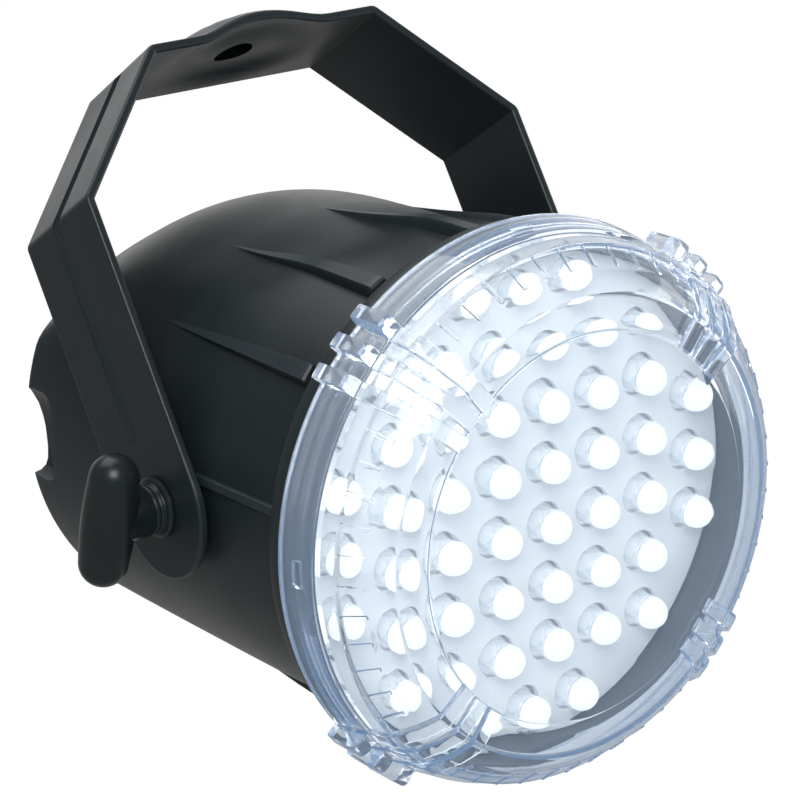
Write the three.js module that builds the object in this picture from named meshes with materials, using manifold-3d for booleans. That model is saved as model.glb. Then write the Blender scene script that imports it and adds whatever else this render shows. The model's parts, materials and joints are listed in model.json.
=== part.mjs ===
// Strobe light: a round lamp head with a clear twist-off front cap, hung in a folded strap yoke.
// Millimetres, +Z up. The lamp axis lies along Y and the front faces -Y.
// The head is drawn about its own axis, then all is moved so that the origin is the hanging-bolt hole.

import * as THREE from 'three';
import { mergeVertices } from 'three/addons/utils/BufferGeometryUtils.js';
import Module from 'manifold-3d';

const wasm = await Module();
wasm.setup();

const degree = Math.PI / 180;
const fullTurn = 360;
const quarterTurn = 90;

// Fits shared by all pieces
const seat = 0.25;
const running = 0.25;
const overrun = 2;
const sink = 1.2;

// Lamps: a square grid with a short extra row on each side. The head's radial sizes all follow its pitch.
const lampPitch = 15;
const gridCount = 6;
const sideOffsets = [-1, 0, 1];
const lampRadiusShare = 0.26667;
const lampRadius = lampPitch * lampRadiusShare;
const lampSides = 6;
const domeSteps = 2;

// Reflector plate and lamp board, measured back from the centres of the lamp domes
const plateFront = 4;
const plateThickness = 1.5;
const plateClearance = 0.6;
const lampHoleShare = 0.38333;
const lampHoleRadius = lampPitch * lampHoleShare;
const lampHoleSides = 8;
const boardFront = 7;
const boardThickness = 1.6;
const boardInset = 1.1;

// Screws that hold the plate and the lamp board
const plateScrewAngles = [30, 150, 270];
const plateScrewInset = 0.4;
const plateScrewShare = 0.08333;
const plateScrewRadius = lampPitch * plateScrewShare;
const plateScrewHeadRadius = plateScrewRadius * 2;
const plateScrewHeadHeight = 2.1;
const plateScrewLength = 6.6;
const plateNotchShare = 0.12667;
const plateNotchRadius = lampPitch * plateNotchShare;
const spacerShare = 0.15333;
const spacerRadius = lampPitch * spacerShare;
const platePostRadius = 4;
const platePostLength = 6;

// Housing: a flared barrel with a collar and a spigot at the front and an open rear
const roundSides = 40;
const wall = 2.4;
const spigotFront = -4.6;
const spigotShare = 4.35333;
const spigotRadius = lampPitch * spigotShare;
const spigotBore = spigotRadius - wall;
const collarFront = 4.7;
const collarRise = 0.9;
const collarRadius = spigotRadius + collarRise;
const collarLength = 5.8;
const collarSlope = 1.1;
const rearInset = 4.3;
const rearRadius = spigotRadius - rearInset;
const rearEnd = 126;
const barrelShares = [
  [0, 0.985],
  [0.3, 1],
  [0.65, 0.998],
  [1, 0.993],
];
const planedShares = [
  [0.1, 1.01],
  [0.3, 0.965],
  [0.423, 0.943],
  [0.598, 0.928],
  [0.773, 0.914],
  [0.904, 0.857],
  [1.06, 0.7],
];
const planedArcShare = 1.3;
const planedArc = rearRadius * planedArcShare;
const planedSteps = 8;

// Raised ribs on the barrel
const ribAngles = [27.3, 51.5, 152.7];
const middleRibAngles = [90, 270];
const ribFront = 16;
const ribLength = 60;
const ribHeight = 3.2;
const ribFootWidth = 4.6;
const ribCrestWidth = 2;
const ribStationShares = [0, 0.23, 0.6, 1];
const ribHeightShares = [0.7, 1, 0.62, -0.1];
const ribWidthShares = [1, 0.92, 0.68, 0.3];
const barAngle = 81.9;
const barLength = 32;
const barWidth = 2.6;
const barHeight = 0.9;

// Rear side pockets that clear the yoke arms
const pocketHalfHeight = 12;
const pocketDepth = 12;
const pocketInset = 6;
const pocketFloor = rearRadius - pocketInset;
const pocketCorner = 5;
const pocketCornerSteps = 4;

// Pivots in the head's sides
const pivotBack = 57.1;
const washerThickness = 1.1;
const washerRadius = 11;
const pivotBossRadius = 9.5;
const pivotBossLength = 13;
const insertRadius = 4.9;
const insertLength = 11;
const studRadius = 3;
const pivotSides = 12;
const padRise = 0.496;

// Yoke: one strap folded four times
const yokeLean = 32.2 * degree;
const strapThickness = 2.3;
const strapWidth = 35.5;
const shoulderRise = 7.3;
const slantRise = 33.9;
const slantRun = 31.5;
const endSteps = 12;
const yokeRibStart = 16;
const yokeRibShoulder = 2.6;
const yokeRibCrown = 3.4;
const yokeRibPeakShare = 0.8;
const yokeRibFootWidth = 6;
const yokeRibCrestWidth = 2.4;
const bossRadius = 17.5;
const bossFootRadius = 29;
const bossHeight = 5.2;
const bossSides = 24;
const recessRadius = 16.6;
const recessFootRadius = 28.4;
const recessRoof = 2.4;
const boltHoleRadius = 5.2;

// Clear front cap
const skirtSpread = 2.8;
const skirtRearRadius = spigotRadius + skirtSpread;
const skirtTaper = 1.6;
const skirtFrontRadius = skirtRearRadius - skirtTaper;
const skirtFront = -5.9;
const ledge = 1.1;
const wallKneeInset = 0.9;
const wallKneeRadius = skirtFrontRadius - ledge - wallKneeInset;
const wallKnee = -12;
const wallBendInset = 4.8;
const wallBendRadius = wallKneeRadius - wallBendInset;
const wallBend = -17.9;
const faceInset = 4.5;
const faceRadius = wallBendRadius - faceInset;
const faceFront = -21.8;
const discInset = 8.7;
const discRadius = faceRadius - discInset;
const discRise = 0.7;
const capWall = 2;
const skirtClearance = 0.3;

// Grip ribs and tick marks on the cap
const gripGroups = 4;
const gripPerGroup = 3;
const gripTurn = 45;
const gripPlaces = 56;
const gripStep = fullTurn / gripPlaces;
const gripWidth = 4;
const gripReach = 3.3;
const gripRadius = skirtRearRadius + gripReach;
const gripRise = 1.3;
const gripChamfer = 1.2;
const gripEmbed = 0.7;
const tickCount = 11;
const tickLength = 6.4;
const tickWidth = 1;
const tickRise = 0.5;
const tickInset = 0.3;

// Twist lock between cap and spigot
const lockTurn = 12;
const lugWidth = 6;
const lugHeight = 2.4;
const lugReach = 1.2;
const lugCentre = 0;
const lockAngles = [0, 90, 180, 270];
const lockSlack = 0.5;

// Rear panel, its screws, vents and pillars
const panelThickness = 2.4;
const panelRecess = 3.6;
const panelClearance = 0.4;
const rearScrewInset = 7.9;
const rearScrewCircle = rearRadius - rearScrewInset;
const rearScrewAngles = [28, 152, 225, 315];
const rearScrewRadius = 1.5;
const rearScrewHeadRadius = 3;
const rearScrewHeadHeight = 2;
const rearScrewLength = 14;
const rearPostRadius = 4.2;
const rearPostLength = 22;
const rearWebWidth = 2.4;
const ventRows = 5;
const ventPitch = 6.5;
const ventLength = 20;
const ventWidth = 2.6;
const ventReach = 20;
const ventCentre = -4;
const pillarRadius = 3.2;
const pillarLength = 15.5;
const screwSides = 8;

// Driver board, transformer and their screws
const driverWidthShare = 1.2943;
const driverWidth = rearRadius * driverWidthShare;
const driverHeightShare = 0.8629;
const driverHeight = rearRadius * driverHeightShare;
const driverThickness = 1.6;
const driverCentre = -4;
const pillarInset = 5;
const driverScrewRadius = 1.3;
const driverScrewHeadRadius = 2.6;
const driverScrewHeadHeight = 1.8;
const driverScrewLength = 8;
const capacitorRadius = 6;
const capacitorLength = 20;
const capacitorPlaceShare = 0.2619;
const capacitorPlace = driverWidth * capacitorPlaceShare;
const capacitorSpread = 11;
const coolerInset = 8;
const coolerWidth = 16;
const coolerHeight = 5;
const coolerLength = 16;
const coreWidth = 40;
const coreHeight = 34;
const coreDepth = 14;
const legWidth = 12;
const yokeBar = 6.5;
const coilWall = 6;
const coilCorner = 3;
const transformerPlaceShare = -0.16667;
const transformerPlace = driverWidth * transformerPlaceShare;

// Rate control: potentiometer, nut, shaft and knob
const rateHeight = 12;
const potRadius = 8.2;
const potDepth = 8.3;
const bushRadius = 3.9;
const bushReach = 5;
const shaftRadius = 3;
const potNutFlat = 5.6;
const potNutHeight = 2.2;
const knobRadius = 9.4;
const knobSkirtRadius = 10.6;
const knobSkirtHeight = 3;
const knobHeight = 15.5;
const knobLift = 0.8;
const knobTopTaper = 1.1;
const knobHollowRadius = 7.4;
const knobHollowDepth = 5;
const knobTopThickness = 3;
const fluteCount = 10;
const fluteRadius = 1.4;
const pointerWidth = 1.6;
const pointerRise = 0.7;
const knobSides = 16;

// Cable gland
const glandDrop = -34;
const glandBarrelRadius = 6;
const glandBarrelLength = 10;
const glandFlat = 7.5;
const glandFlangeHeight = 4;
const glandCollarRadius = 5.1;
const glandCollarHeight = 4;
const glandBore = 3.4;
const glandCapHeight = 10;
const glandCapRadius = 7.2;
const glandCapTopRadius = 5.4;
const glandCapRoof = 2;
const glandNutHeight = 2.6;
const glandSides = 12;

// T-knobs on the pivots
const neckRadius = 6.2;
const neckFlangeRadius = 8;
const neckFlange = 1.6;
const neckGroove = 0.5;
const neckGrooves = 2;
const knobStandOff = 14.238115;
const barRadius = 6.6;
const barEndRadius = 6;
const barSpan = 36;
const barSides = 10;
const leftBarTurn = 18;
const rightBarTurn = -14;
const studGrip = 9;

// Looks
const blackPlastic = { color: 0x15171a, roughness: 0.42, metalness: 0 };
const knobPlastic = { color: 0x111214, roughness: 0.3, metalness: 0 };
const clearPlastic = { color: 0xdfe8ee, roughness: 0.08, metalness: 0, transparent: true, opacity: 0.35 };
const silverPlate = { color: 0xd9dcdf, roughness: 0.3, metalness: 0.6 };
const lampWhite = { color: 0xf4f6ff, roughness: 0.2, metalness: 0, emissive: 0xffffff };
const plated = { color: 0xb9bdc2, roughness: 0.3, metalness: 1 };
const brass = { color: 0xb99345, roughness: 0.35, metalness: 1 };
const rubber = { color: 0x17181a, roughness: 0.8, metalness: 0 };
const boardGreen = { color: 0x1f5a37, roughness: 0.5, metalness: 0 };
const lamination = { color: 0x4b4e52, roughness: 0.5, metalness: 0.8 };
const winding = { color: 0xb8842c, roughness: 0.4, metalness: 0.2 };
const nylon = { color: 0x1a1b1d, roughness: 0.55, metalness: 0 };

// Solids from geometry: shared corners are merged and the faces are turned outwards
function solid(geometry, matrix) {
  const bare = geometry.clone();
  bare.deleteAttribute('normal');
  bare.deleteAttribute('uv');
  if (matrix) {
    bare.applyMatrix4(matrix);
  }
  const merged = mergeVertices(bare);
  const place = merged.attributes.position.array;
  const index = merged.index.array;
  const faces = [];
  let volume = 0;
  for (let i = 0; i < index.length; i += 3) {
    const [a, b, c] = [index[i], index[i + 1], index[i + 2]];
    if (a !== b && b !== c && c !== a) {
      faces.push(a, b, c);
      const p = new THREE.Vector3().fromArray(place, a * 3);
      const q = new THREE.Vector3().fromArray(place, b * 3);
      const r = new THREE.Vector3().fromArray(place, c * 3);
      volume += p.dot(q.cross(r));
    }
  }
  if (volume < 0) {
    for (let i = 0; i < faces.length; i += 3) {
      [faces[i], faces[i + 1]] = [faces[i + 1], faces[i]];
    }
  }
  return new wasm.Manifold(new wasm.Mesh({
    numProp: 3,
    vertProperties: Float32Array.from(place),
    triVerts: Uint32Array.from(faces),
  }));
}

function piece(name, body, look) {
  const { vertProperties, triVerts } = body.getMesh();
  const geometry = new THREE.BufferGeometry();
  geometry.setAttribute('position', new THREE.BufferAttribute(Float32Array.from(vertProperties), 3));
  geometry.setIndex(new THREE.BufferAttribute(Uint32Array.from(triVerts), 1));
  geometry.computeVertexNormals();
  const mesh = new THREE.Mesh(geometry, new THREE.MeshStandardMaterial(look));
  mesh.name = name;
  return mesh;
}

function joined(bodies) {
  return bodies.reduce((sum, body) => sum.add(body));
}

const alongX = new THREE.Vector3(1, 0, 0);
const alongY = new THREE.Vector3(0, 1, 0);
const alongZ = new THREE.Vector3(0, 0, 1);

// A profile of [radius, distance] turned about an axis that leaves a point in a direction
function turned(profile, sides, from = [0, 0, 0], axis = alongY, ring = false) {
  const points = profile.map(([r, y]) => new THREE.Vector2(r, y));
  if (ring) {
    points.push(points[0].clone());
  }
  const turn = new THREE.Quaternion().setFromUnitVectors(alongY, axis);
  const place = new THREE.Matrix4().makeRotationFromQuaternion(turn);
  place.setPosition(...from);
  return solid(new THREE.LatheGeometry(points, sides), place);
}

function rod(radius, start, end, sides, from, axis) {
  return turned([[0, start], [radius, start], [radius, end], [0, end]], sides, from, axis);
}

function tube(inner, outer, start, end, sides, from, axis) {
  return turned([[inner, start], [outer, start], [outer, end], [inner, end]], sides, from, axis, true);
}

// An outline pushed along the third of three directions, from start to end
function pushed(outline, start, end, first = alongX, second = alongZ, third = alongY, hollows = []) {
  const shape = outline instanceof THREE.Shape ? outline : new THREE.Shape(
    outline.map(([x, y]) => new THREE.Vector2(x, y)),
  );
  shape.holes.push(...hollows);
  const geometry = new THREE.ExtrudeGeometry(shape, { depth: end - start, bevelEnabled: false });
  geometry.translate(0, 0, start);
  return solid(geometry, new THREE.Matrix4().makeBasis(first, second, third));
}

// A chain of rings of points, closed at both ends
function lofted(rings) {
  const count = rings[0].length;
  const place = rings.flat().flat();
  const index = [];
  for (let i = 0; i + 1 < rings.length; i += 1) {
    for (let j = 0; j < count; j += 1) {
      const k = (j + 1) % count;
      const [a, b, c, d] = [i * count + j, i * count + k, (i + 1) * count + k, (i + 1) * count + j];
      index.push(a, b, c, a, c, d);
    }
  }
  const last = (rings.length - 1) * count;
  for (let j = 1; j + 1 < count; j += 1) {
    index.push(0, j + 1, j, last, last + j, last + j + 1);
  }
  const geometry = new THREE.BufferGeometry();
  geometry.setAttribute('position', new THREE.Float32BufferAttribute(place, 3));
  geometry.setIndex(index);
  return solid(geometry);
}

function polar(radius, angle) {
  return [radius * Math.cos(angle), radius * Math.sin(angle)];
}

function disc(radius, sides, x = 0, y = 0) {
  const points = [];
  for (let i = 0; i < sides; i += 1) {
    const [dx, dy] = polar(radius, (i / sides) * 2 * Math.PI);
    points.push(new THREE.Vector2(x + dx, y + dy));
  }
  return points;
}

function rectangle(width, height, x = 0, y = 0) {
  return [
    [x - width / 2, y - height / 2],
    [x + width / 2, y - height / 2],
    [x + width / 2, y + height / 2],
    [x - width / 2, y + height / 2],
  ];
}

function rounded(width, height, corner, steps) {
  const points = [];
  const centres = [[1, 1], [-1, 1], [-1, -1], [1, -1]];
  centres.forEach(([sx, sy], quarter) => {
    for (let i = 0; i <= steps; i += 1) {
      const [dx, dy] = polar(corner, (quarter + i / steps) * (Math.PI / 2));
      points.push([sx * (width / 2 - corner) + dx, sy * (height / 2 - corner) + dy]);
    }
  });
  return points;
}

// A sector of a ring about the lamp axis
function sector(inner, outer, from, to, start, end, steps) {
  const points = [];
  for (let i = 0; i <= steps; i += 1) {
    points.push(polar(outer, from + ((to - from) * i) / steps));
  }
  for (let i = steps; i >= 0; i -= 1) {
    points.push(polar(inner, from + ((to - from) * i) / steps));
  }
  return pushed(points, start, end);
}

// A radial outline of [radius, distance along the lamp axis], pushed to a width at an angle
function blade(outline, width, angle) {
  const outward = new THREE.Vector3(Math.cos(angle), 0, Math.sin(angle));
  const across = new THREE.Vector3(-Math.sin(angle), 0, Math.cos(angle));
  return pushed(outline, -width / 2, width / 2, outward, alongY, across);
}

function between(table, place) {
  const next = Math.max(1, table.findIndex(([x]) => x >= place));
  const [[x0, y0], [x1, y1]] = [table[next - 1], table[next]];
  return y0 + ((y1 - y0) * (place - x0)) / (x1 - x0);
}

// Housing outlines
const barrelFront = collarFront + collarLength + collarSlope;
const barrelLength = rearEnd - barrelFront;
const barrelLine = barrelShares.map(([along, out]) => [barrelFront + along * barrelLength, out * rearRadius]);
const planedLine = planedShares.map(([along, up]) => [barrelFront + along * barrelLength, up * rearRadius]);
const boardRadius = spigotBore - boardInset;
const plateScrewCircle = spigotBore - plateScrewHeadRadius - plateScrewInset;
const narrowRadius = Math.min(...barrelLine.map(([, r]) => r));

function barrelRadius(y) {
  return between(barrelLine, Math.min(y, rearEnd));
}

function surfaceRadius(y, rise) {
  if (rise <= 0) {
    return barrelRadius(y);
  }
  const centre = between(planedLine, y) - planedArc;
  return Math.min(barrelRadius(y), centre * rise + Math.sqrt(planedArc ** 2 - centre ** 2 * (1 - rise ** 2)));
}

// What the flattened top leaves out, its arc dropped by a distance
function planing(drop) {
  const top = rearRadius * 2;
  const reach = rearRadius + overrun;
  return lofted(planedLine.map(([y, crest]) => {
    const ring = [[-reach, y, top]];
    for (let i = 0; i <= planedSteps; i += 1) {
      const x = reach * ((2 * i) / planedSteps - 1);
      ring.push([x, y, crest - drop - planedArc + Math.sqrt(planedArc ** 2 - x ** 2)]);
    }
    ring.push([reach, y, top]);
    return ring;
  }));
}

function pockets(grow, back) {
  const floor = pocketFloor - grow;
  const half = pocketHalfHeight + grow;
  const front = rearEnd - pocketDepth - grow;
  const corner = pocketCorner;
  const outline = [[back, -half]];
  for (let i = 0; i <= pocketCornerSteps; i += 1) {
    const [dx, dy] = polar(corner, -Math.PI / 2 - (i / pocketCornerSteps) * (Math.PI / 2));
    outline.push([front + corner + dx, -half + corner + dy]);
  }
  for (let i = 0; i <= pocketCornerSteps; i += 1) {
    const [dx, dy] = polar(corner, Math.PI - (i / pocketCornerSteps) * (Math.PI / 2));
    outline.push([front + corner + dx, half - corner + dy]);
  }
  outline.push([back, half]);
  const out = rearRadius + overrun;
  return joined([-1, 1].map((side) => {
    const [start, end] = side > 0 ? [floor, out] : [-out, -floor];
    return pushed(outline, start, end, alongY, alongZ, alongX);
  }));
}

const outside = turned([
  [0, spigotFront],
  [spigotRadius, spigotFront],
  [spigotRadius, collarFront],
  [collarRadius, collarFront],
  [collarRadius, collarFront + collarLength],
  ...barrelLine.map(([y, r]) => [r, y]),
  [0, rearEnd],
], roundSides).subtract(planing(0)).subtract(pockets(0, rearEnd + overrun));

const inside = turned([
  [0, spigotFront - overrun],
  [spigotBore, spigotFront - overrun],
  [spigotBore, barrelFront - wall],
  [narrowRadius - wall, barrelFront],
  [barrelRadius(pivotBack) - wall, pivotBack],
  [rearRadius - wall, rearEnd + overrun],
  [0, rearEnd + overrun],
], roundSides).subtract(planing(wall)).subtract(pockets(wall, rearEnd + overrun * 2));

function wedgeRib(angle) {
  const rise = Math.sin(angle);
  const rings = ribStationShares.map((share, i) => {
    const y = ribFront + share * ribLength;
    const ground = surfaceRadius(y, rise);
    const foot = ground - sink;
    const crest = ground + ribHeight * ribHeightShares[i];
    const footHalf = (ribFootWidth * ribWidthShares[i]) / 2;
    const crestHalf = (ribCrestWidth * ribWidthShares[i]) / 2;
    const section = [[foot, -footHalf], [foot, footHalf], [crest, crestHalf], [crest, -crestHalf]];
    return section.map(([r, t]) => [
      r * Math.cos(angle) - t * Math.sin(angle),
      y,
      r * Math.sin(angle) + t * Math.cos(angle),
    ]);
  });
  return lofted(rings);
}

function sideBar(angle) {
  const start = ribFront;
  const end = ribFront + barLength;
  const line = [[start, 0], [start + barLength / 2, 0], [end, 0]].map(([y]) => [barrelRadius(y), y]);
  const crest = line.map(([r, y]) => [r + barHeight, y]);
  const foot = line.map(([r, y]) => [r - sink, y]).reverse();
  return blade([...crest, ...foot], barWidth, angle);
}

const sideRibAngles = ribAngles.flatMap((offset) => [quarterTurn - offset, quarterTurn + offset]);
const ribTurns = [...middleRibAngles, ...sideRibAngles].map((a) => a * degree);
const barTurns = [quarterTurn - barAngle, quarterTurn + barAngle].map((a) => a * degree);

// Posts inside the housing
const boardBack = boardFront + boardThickness;
const platePostFront = boardBack + seat;
const platePosts = plateScrewAngles.map((angle) => {
  const [x, z] = polar(plateScrewCircle, angle * degree);
  return rod(platePostRadius, platePostFront, platePostFront + platePostLength, pivotSides, [x, 0, z]);
});
const panelBack = rearEnd - panelRecess;
const panelFront = panelBack - panelThickness;
const rearPostBack = panelFront - seat;
const rearPosts = rearScrewAngles.map((angle) => {
  const [x, z] = polar(rearScrewCircle, angle * degree);
  const post = rod(rearPostRadius, rearPostBack - rearPostLength, rearPostBack, screwSides, [x, 0, z]);
  const web = blade([
    [rearScrewCircle, rearPostBack - rearPostLength],
    [rearRadius, rearPostBack - rearPostLength],
    [rearRadius, rearPostBack],
    [rearScrewCircle, rearPostBack],
  ], rearWebWidth, angle * degree);
  return post.add(web).intersect(outside);
});

// Pivot pads
const padFace = barrelRadius(pivotBack) + padRise;
const washerOuter = padFace + seat + washerThickness;
const armInner = washerOuter + seat;
const armOuter = armInner + strapThickness;
const shoulderHeight = armOuter + shoulderRise;
const crownHeight = shoulderHeight + slantRise;
const crownHalfWidth = armOuter - slantRun;
const knobReach = armOuter + knobStandOff;
const sides = [['left', -1], ['right', 1]];

function atPivot(side) {
  return [[0, pivotBack, 0], new THREE.Vector3(side, 0, 0)];
}

const pivotBosses = sides.map(([, side]) => {
  const [from, axis] = atPivot(side);
  return rod(pivotBossRadius, padFace - pivotBossLength, padFace, pivotSides, from, axis);
});
const padClearings = sides.map(([, side]) => {
  const [from, axis] = atPivot(side);
  return rod(washerRadius + running * 2, padFace, padFace + overrun * 2, pivotSides, from, axis);
});
const insertHoles = sides.map(([, side]) => {
  const [from, axis] = atPivot(side);
  return rod(insertRadius + seat, padFace - pivotBossLength - overrun, padFace + overrun, pivotSides, from, axis);
});

// Twist-lock slots in the spigot
const lockFloor = spigotRadius - lugReach;
const lugHalfAngle = lugWidth / 2 / spigotRadius;
const slotSlackAngle = lockSlack / spigotRadius;
const lockSlots = lockAngles.map((angle) => {
  const from = angle * degree - lugHalfAngle - slotSlackAngle;
  const to = (angle + lockTurn) * degree + lugHalfAngle + slotSlackAngle;
  const entry = to - 2 * (lugHalfAngle + slotSlackAngle);
  const half = lugHeight / 2 + lockSlack;
  const run = sector(lockFloor, spigotRadius + overrun, from, to, lugCentre - half, lugCentre + half, 4);
  const way = sector(lockFloor, spigotRadius + overrun, entry, to, spigotFront - overrun, lugCentre, 2);
  return run.add(way);
});

const plateScrewHoles = plateScrewAngles.map((angle) => {
  const [x, z] = polar(plateScrewCircle, angle * degree);
  const end = plateFront - seat + plateScrewLength + seat * 2;
  return rod(plateScrewRadius + running, platePostFront - overrun, end, screwSides, [x, 0, z]);
});
const rearScrewHoles = rearScrewAngles.map((angle) => {
  const [x, z] = polar(rearScrewCircle, angle * degree);
  const end = panelBack + seat - rearScrewLength - seat * 2;
  return rod(rearScrewRadius + running, end, rearPostBack + overrun, screwSides, [x, 0, z]);
});

const trimmed = joined([...platePosts, ...rearPosts]).intersect(outside);
const shell = joined([
  outside.subtract(inside),
  trimmed,
  ...pivotBosses,
  ...ribTurns.map(wedgeRib),
  ...barTurns.map(sideBar),
]);
const housing = shell
  .subtract(joined([...padClearings, ...insertHoles, ...lockSlots, ...plateScrewHoles, ...rearScrewHoles]));

// Reflector plate
const lampPlaces = [];
for (let i = 0; i < gridCount; i += 1) {
  for (let j = 0; j < gridCount; j += 1) {
    lampPlaces.push([i - (gridCount - 1) / 2, j - (gridCount - 1) / 2]);
  }
}
sideOffsets.forEach((offset) => {
  const out = (gridCount + 1) / 2;
  lampPlaces.push([offset, out], [offset, -out], [out, offset], [-out, offset]);
});
const lampCentres = lampPlaces.map(([i, j]) => [i * lampPitch, j * lampPitch]);
const lampHoles = lampCentres.map(([x, z]) => new THREE.Path(disc(lampHoleRadius, lampHoleSides, x, z)));
const plateRadius = spigotBore - plateClearance;
const plateShape = new THREE.Shape(disc(plateRadius, roundSides));
const plateBack = plateFront + plateThickness;
const plateNotches = plateScrewAngles.map((angle) => {
  const [x, z] = polar(plateScrewCircle, angle * degree);
  const round = rod(plateNotchRadius, plateFront - overrun, plateBack + overrun, screwSides, [x, 0, z]);
  const way = blade([
    [plateScrewCircle, plateFront - overrun],
    [plateRadius + overrun, plateFront - overrun],
    [plateRadius + overrun, plateBack + overrun],
    [plateScrewCircle, plateBack + overrun],
  ], plateNotchRadius * 2, angle * degree);
  return round.add(way);
});
const reflectorPlate = pushed(plateShape, plateFront, plateBack, alongX, alongZ, alongY, lampHoles)
  .subtract(joined(plateNotches));

// Lamp board with its lamps
const dome = [];
for (let i = 0; i < domeSteps; i += 1) {
  const [y, r] = polar(lampRadius, (i / domeSteps) * (Math.PI / 2));
  dome.push([r, -y]);
}
const lampProfile = [
  ...dome,
  [lampRadius, 0],
  [lampRadius, boardFront + boardThickness / 2],
  [0, boardFront + boardThickness / 2],
];
const boardDisc = rod(boardRadius, boardFront, boardBack, roundSides, [0, 0, 0]);
const boardHoles = plateScrewAngles.map((angle) => {
  const [x, z] = polar(plateScrewCircle, angle * degree);
  return rod(plateScrewRadius + running, boardFront - overrun, boardBack + overrun, screwSides, [x, 0, z]);
});
const ledBoard = joined([
  boardDisc.subtract(joined(boardHoles)),
  ...lampCentres.map(([x, z]) => turned(lampProfile, lampSides, [x, 0, z])),
]);

// Plate screws and spacers
const plateScrews = plateScrewAngles.map((angle) => {
  const [x, z] = polar(plateScrewCircle, angle * degree);
  const under = plateFront - seat;
  return turned([
    [0, under - plateScrewHeadHeight],
    [plateScrewHeadRadius - running * 2, under - plateScrewHeadHeight],
    [plateScrewHeadRadius, under - plateScrewHeadHeight / 2],
    [plateScrewHeadRadius, under],
    [plateScrewRadius, under],
    [plateScrewRadius, under + plateScrewLength],
    [0, under + plateScrewLength],
  ], screwSides, [x, 0, z]);
});
const spacers = plateScrewAngles.map((angle) => {
  const [x, z] = polar(plateScrewCircle, angle * degree);
  const inner = plateScrewRadius + running;
  return tube(inner, spacerRadius, plateBack + seat, boardFront - seat, screwSides, [x, 0, z]);
});

// Clear cap: outer and inner lines of the moulding, from the skirt's rear rim to the axis
const skirtRear = collarFront - seat;
const skirtBore = spigotRadius + skirtClearance;
const outerLine = [
  [skirtRearRadius, skirtRear],
  [skirtFrontRadius, skirtFront],
  [skirtFrontRadius - ledge, skirtFront],
  [wallKneeRadius, wallKnee],
  [wallBendRadius, wallBend],
  [faceRadius, faceFront],
  [discRadius, faceFront],
  [discRadius, faceFront - discRise],
  [0, faceFront - discRise],
];
const innerLine = [
  [0, faceFront - discRise + capWall],
  [faceRadius - capWall / 2, faceFront - discRise + capWall],
  [wallBendRadius - capWall * 0.75, wallBend + capWall * 0.65],
  [wallKneeRadius - capWall, wallKnee + capWall / 4],
  [skirtFrontRadius - ledge - capWall, skirtFront - seat],
  [skirtBore, skirtFront + capWall / 2],
  [skirtBore, skirtRear],
];
const capShell = turned([...innerLine, ...outerLine], roundSides, [0, 0, 0], alongY, true);

const gripOutline = [
  [gripRadius, skirtRear],
  [gripRadius, skirtFront + gripChamfer / 2],
  [gripRadius - gripChamfer, skirtFront - gripRise / 2],
  [skirtFrontRadius - ledge + gripRise, skirtFront - gripRise / 2],
  [wallKneeRadius + gripRise, wallKnee - gripRise / 2],
  [wallBendRadius + gripRise, wallBend - gripRise],
  [faceRadius + gripRise / 2, faceFront - gripRise],
  [discRadius, faceFront - gripRise],
  [discRadius, faceFront + gripEmbed],
  [faceRadius - gripEmbed, faceFront + gripEmbed],
  [wallBendRadius - gripEmbed, wallBend + gripEmbed],
  [wallKneeRadius - gripEmbed, wallKnee],
  [skirtFrontRadius - ledge - gripEmbed, skirtFront],
  [skirtBore + gripEmbed / 2, skirtFront + capWall / 2],
  [skirtBore + gripEmbed / 2, skirtRear],
];
const gripTurns = [];
for (let group = 0; group < gripGroups; group += 1) {
  for (let i = 0; i < gripPerGroup; i += 1) {
    const middle = gripTurn + (group * fullTurn) / gripGroups;
    gripTurns.push((middle + (i - (gripPerGroup - 1) / 2) * gripStep) * degree);
  }
}

const tickSlope = new THREE.Vector2(wallBendRadius - wallKneeRadius, wallBend - wallKnee).normalize();
const tickStart = [wallKneeRadius + tickSlope.x * tickInset, wallKnee + tickSlope.y * tickInset];
const tickEnd = [tickStart[0] + tickSlope.x * tickLength, tickStart[1] + tickSlope.y * tickLength];
const tickOutline = [
  [tickStart[0] + tickRise, tickStart[1] - tickRise],
  [tickEnd[0] + tickRise, tickEnd[1] - tickRise],
  [tickEnd[0] - gripEmbed, tickEnd[1] + gripEmbed],
  [tickStart[0] - gripEmbed, tickStart[1] + gripEmbed],
];
const tickTurns = [];
for (let group = 0; group < gripGroups; group += 1) {
  for (let i = 0; i < tickCount; i += 1) {
    const middle = (group * fullTurn) / gripGroups;
    tickTurns.push((middle + (i - (tickCount - 1) / 2) * gripStep) * degree);
  }
}
const lugs = lockAngles.map((angle) => sector(
  lockFloor + skirtClearance,
  skirtBore + capWall / 2,
  angle * degree - lugHalfAngle,
  angle * degree + lugHalfAngle,
  lugCentre - lugHeight / 2,
  lugCentre + lugHeight / 2,
  2,
));
const clearCap = joined([
  capShell,
  ...gripTurns.map((angle) => blade(gripOutline, gripWidth, angle)),
  ...tickTurns.map((angle) => blade(tickOutline, tickWidth, angle)),
  ...lugs,
]);

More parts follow.
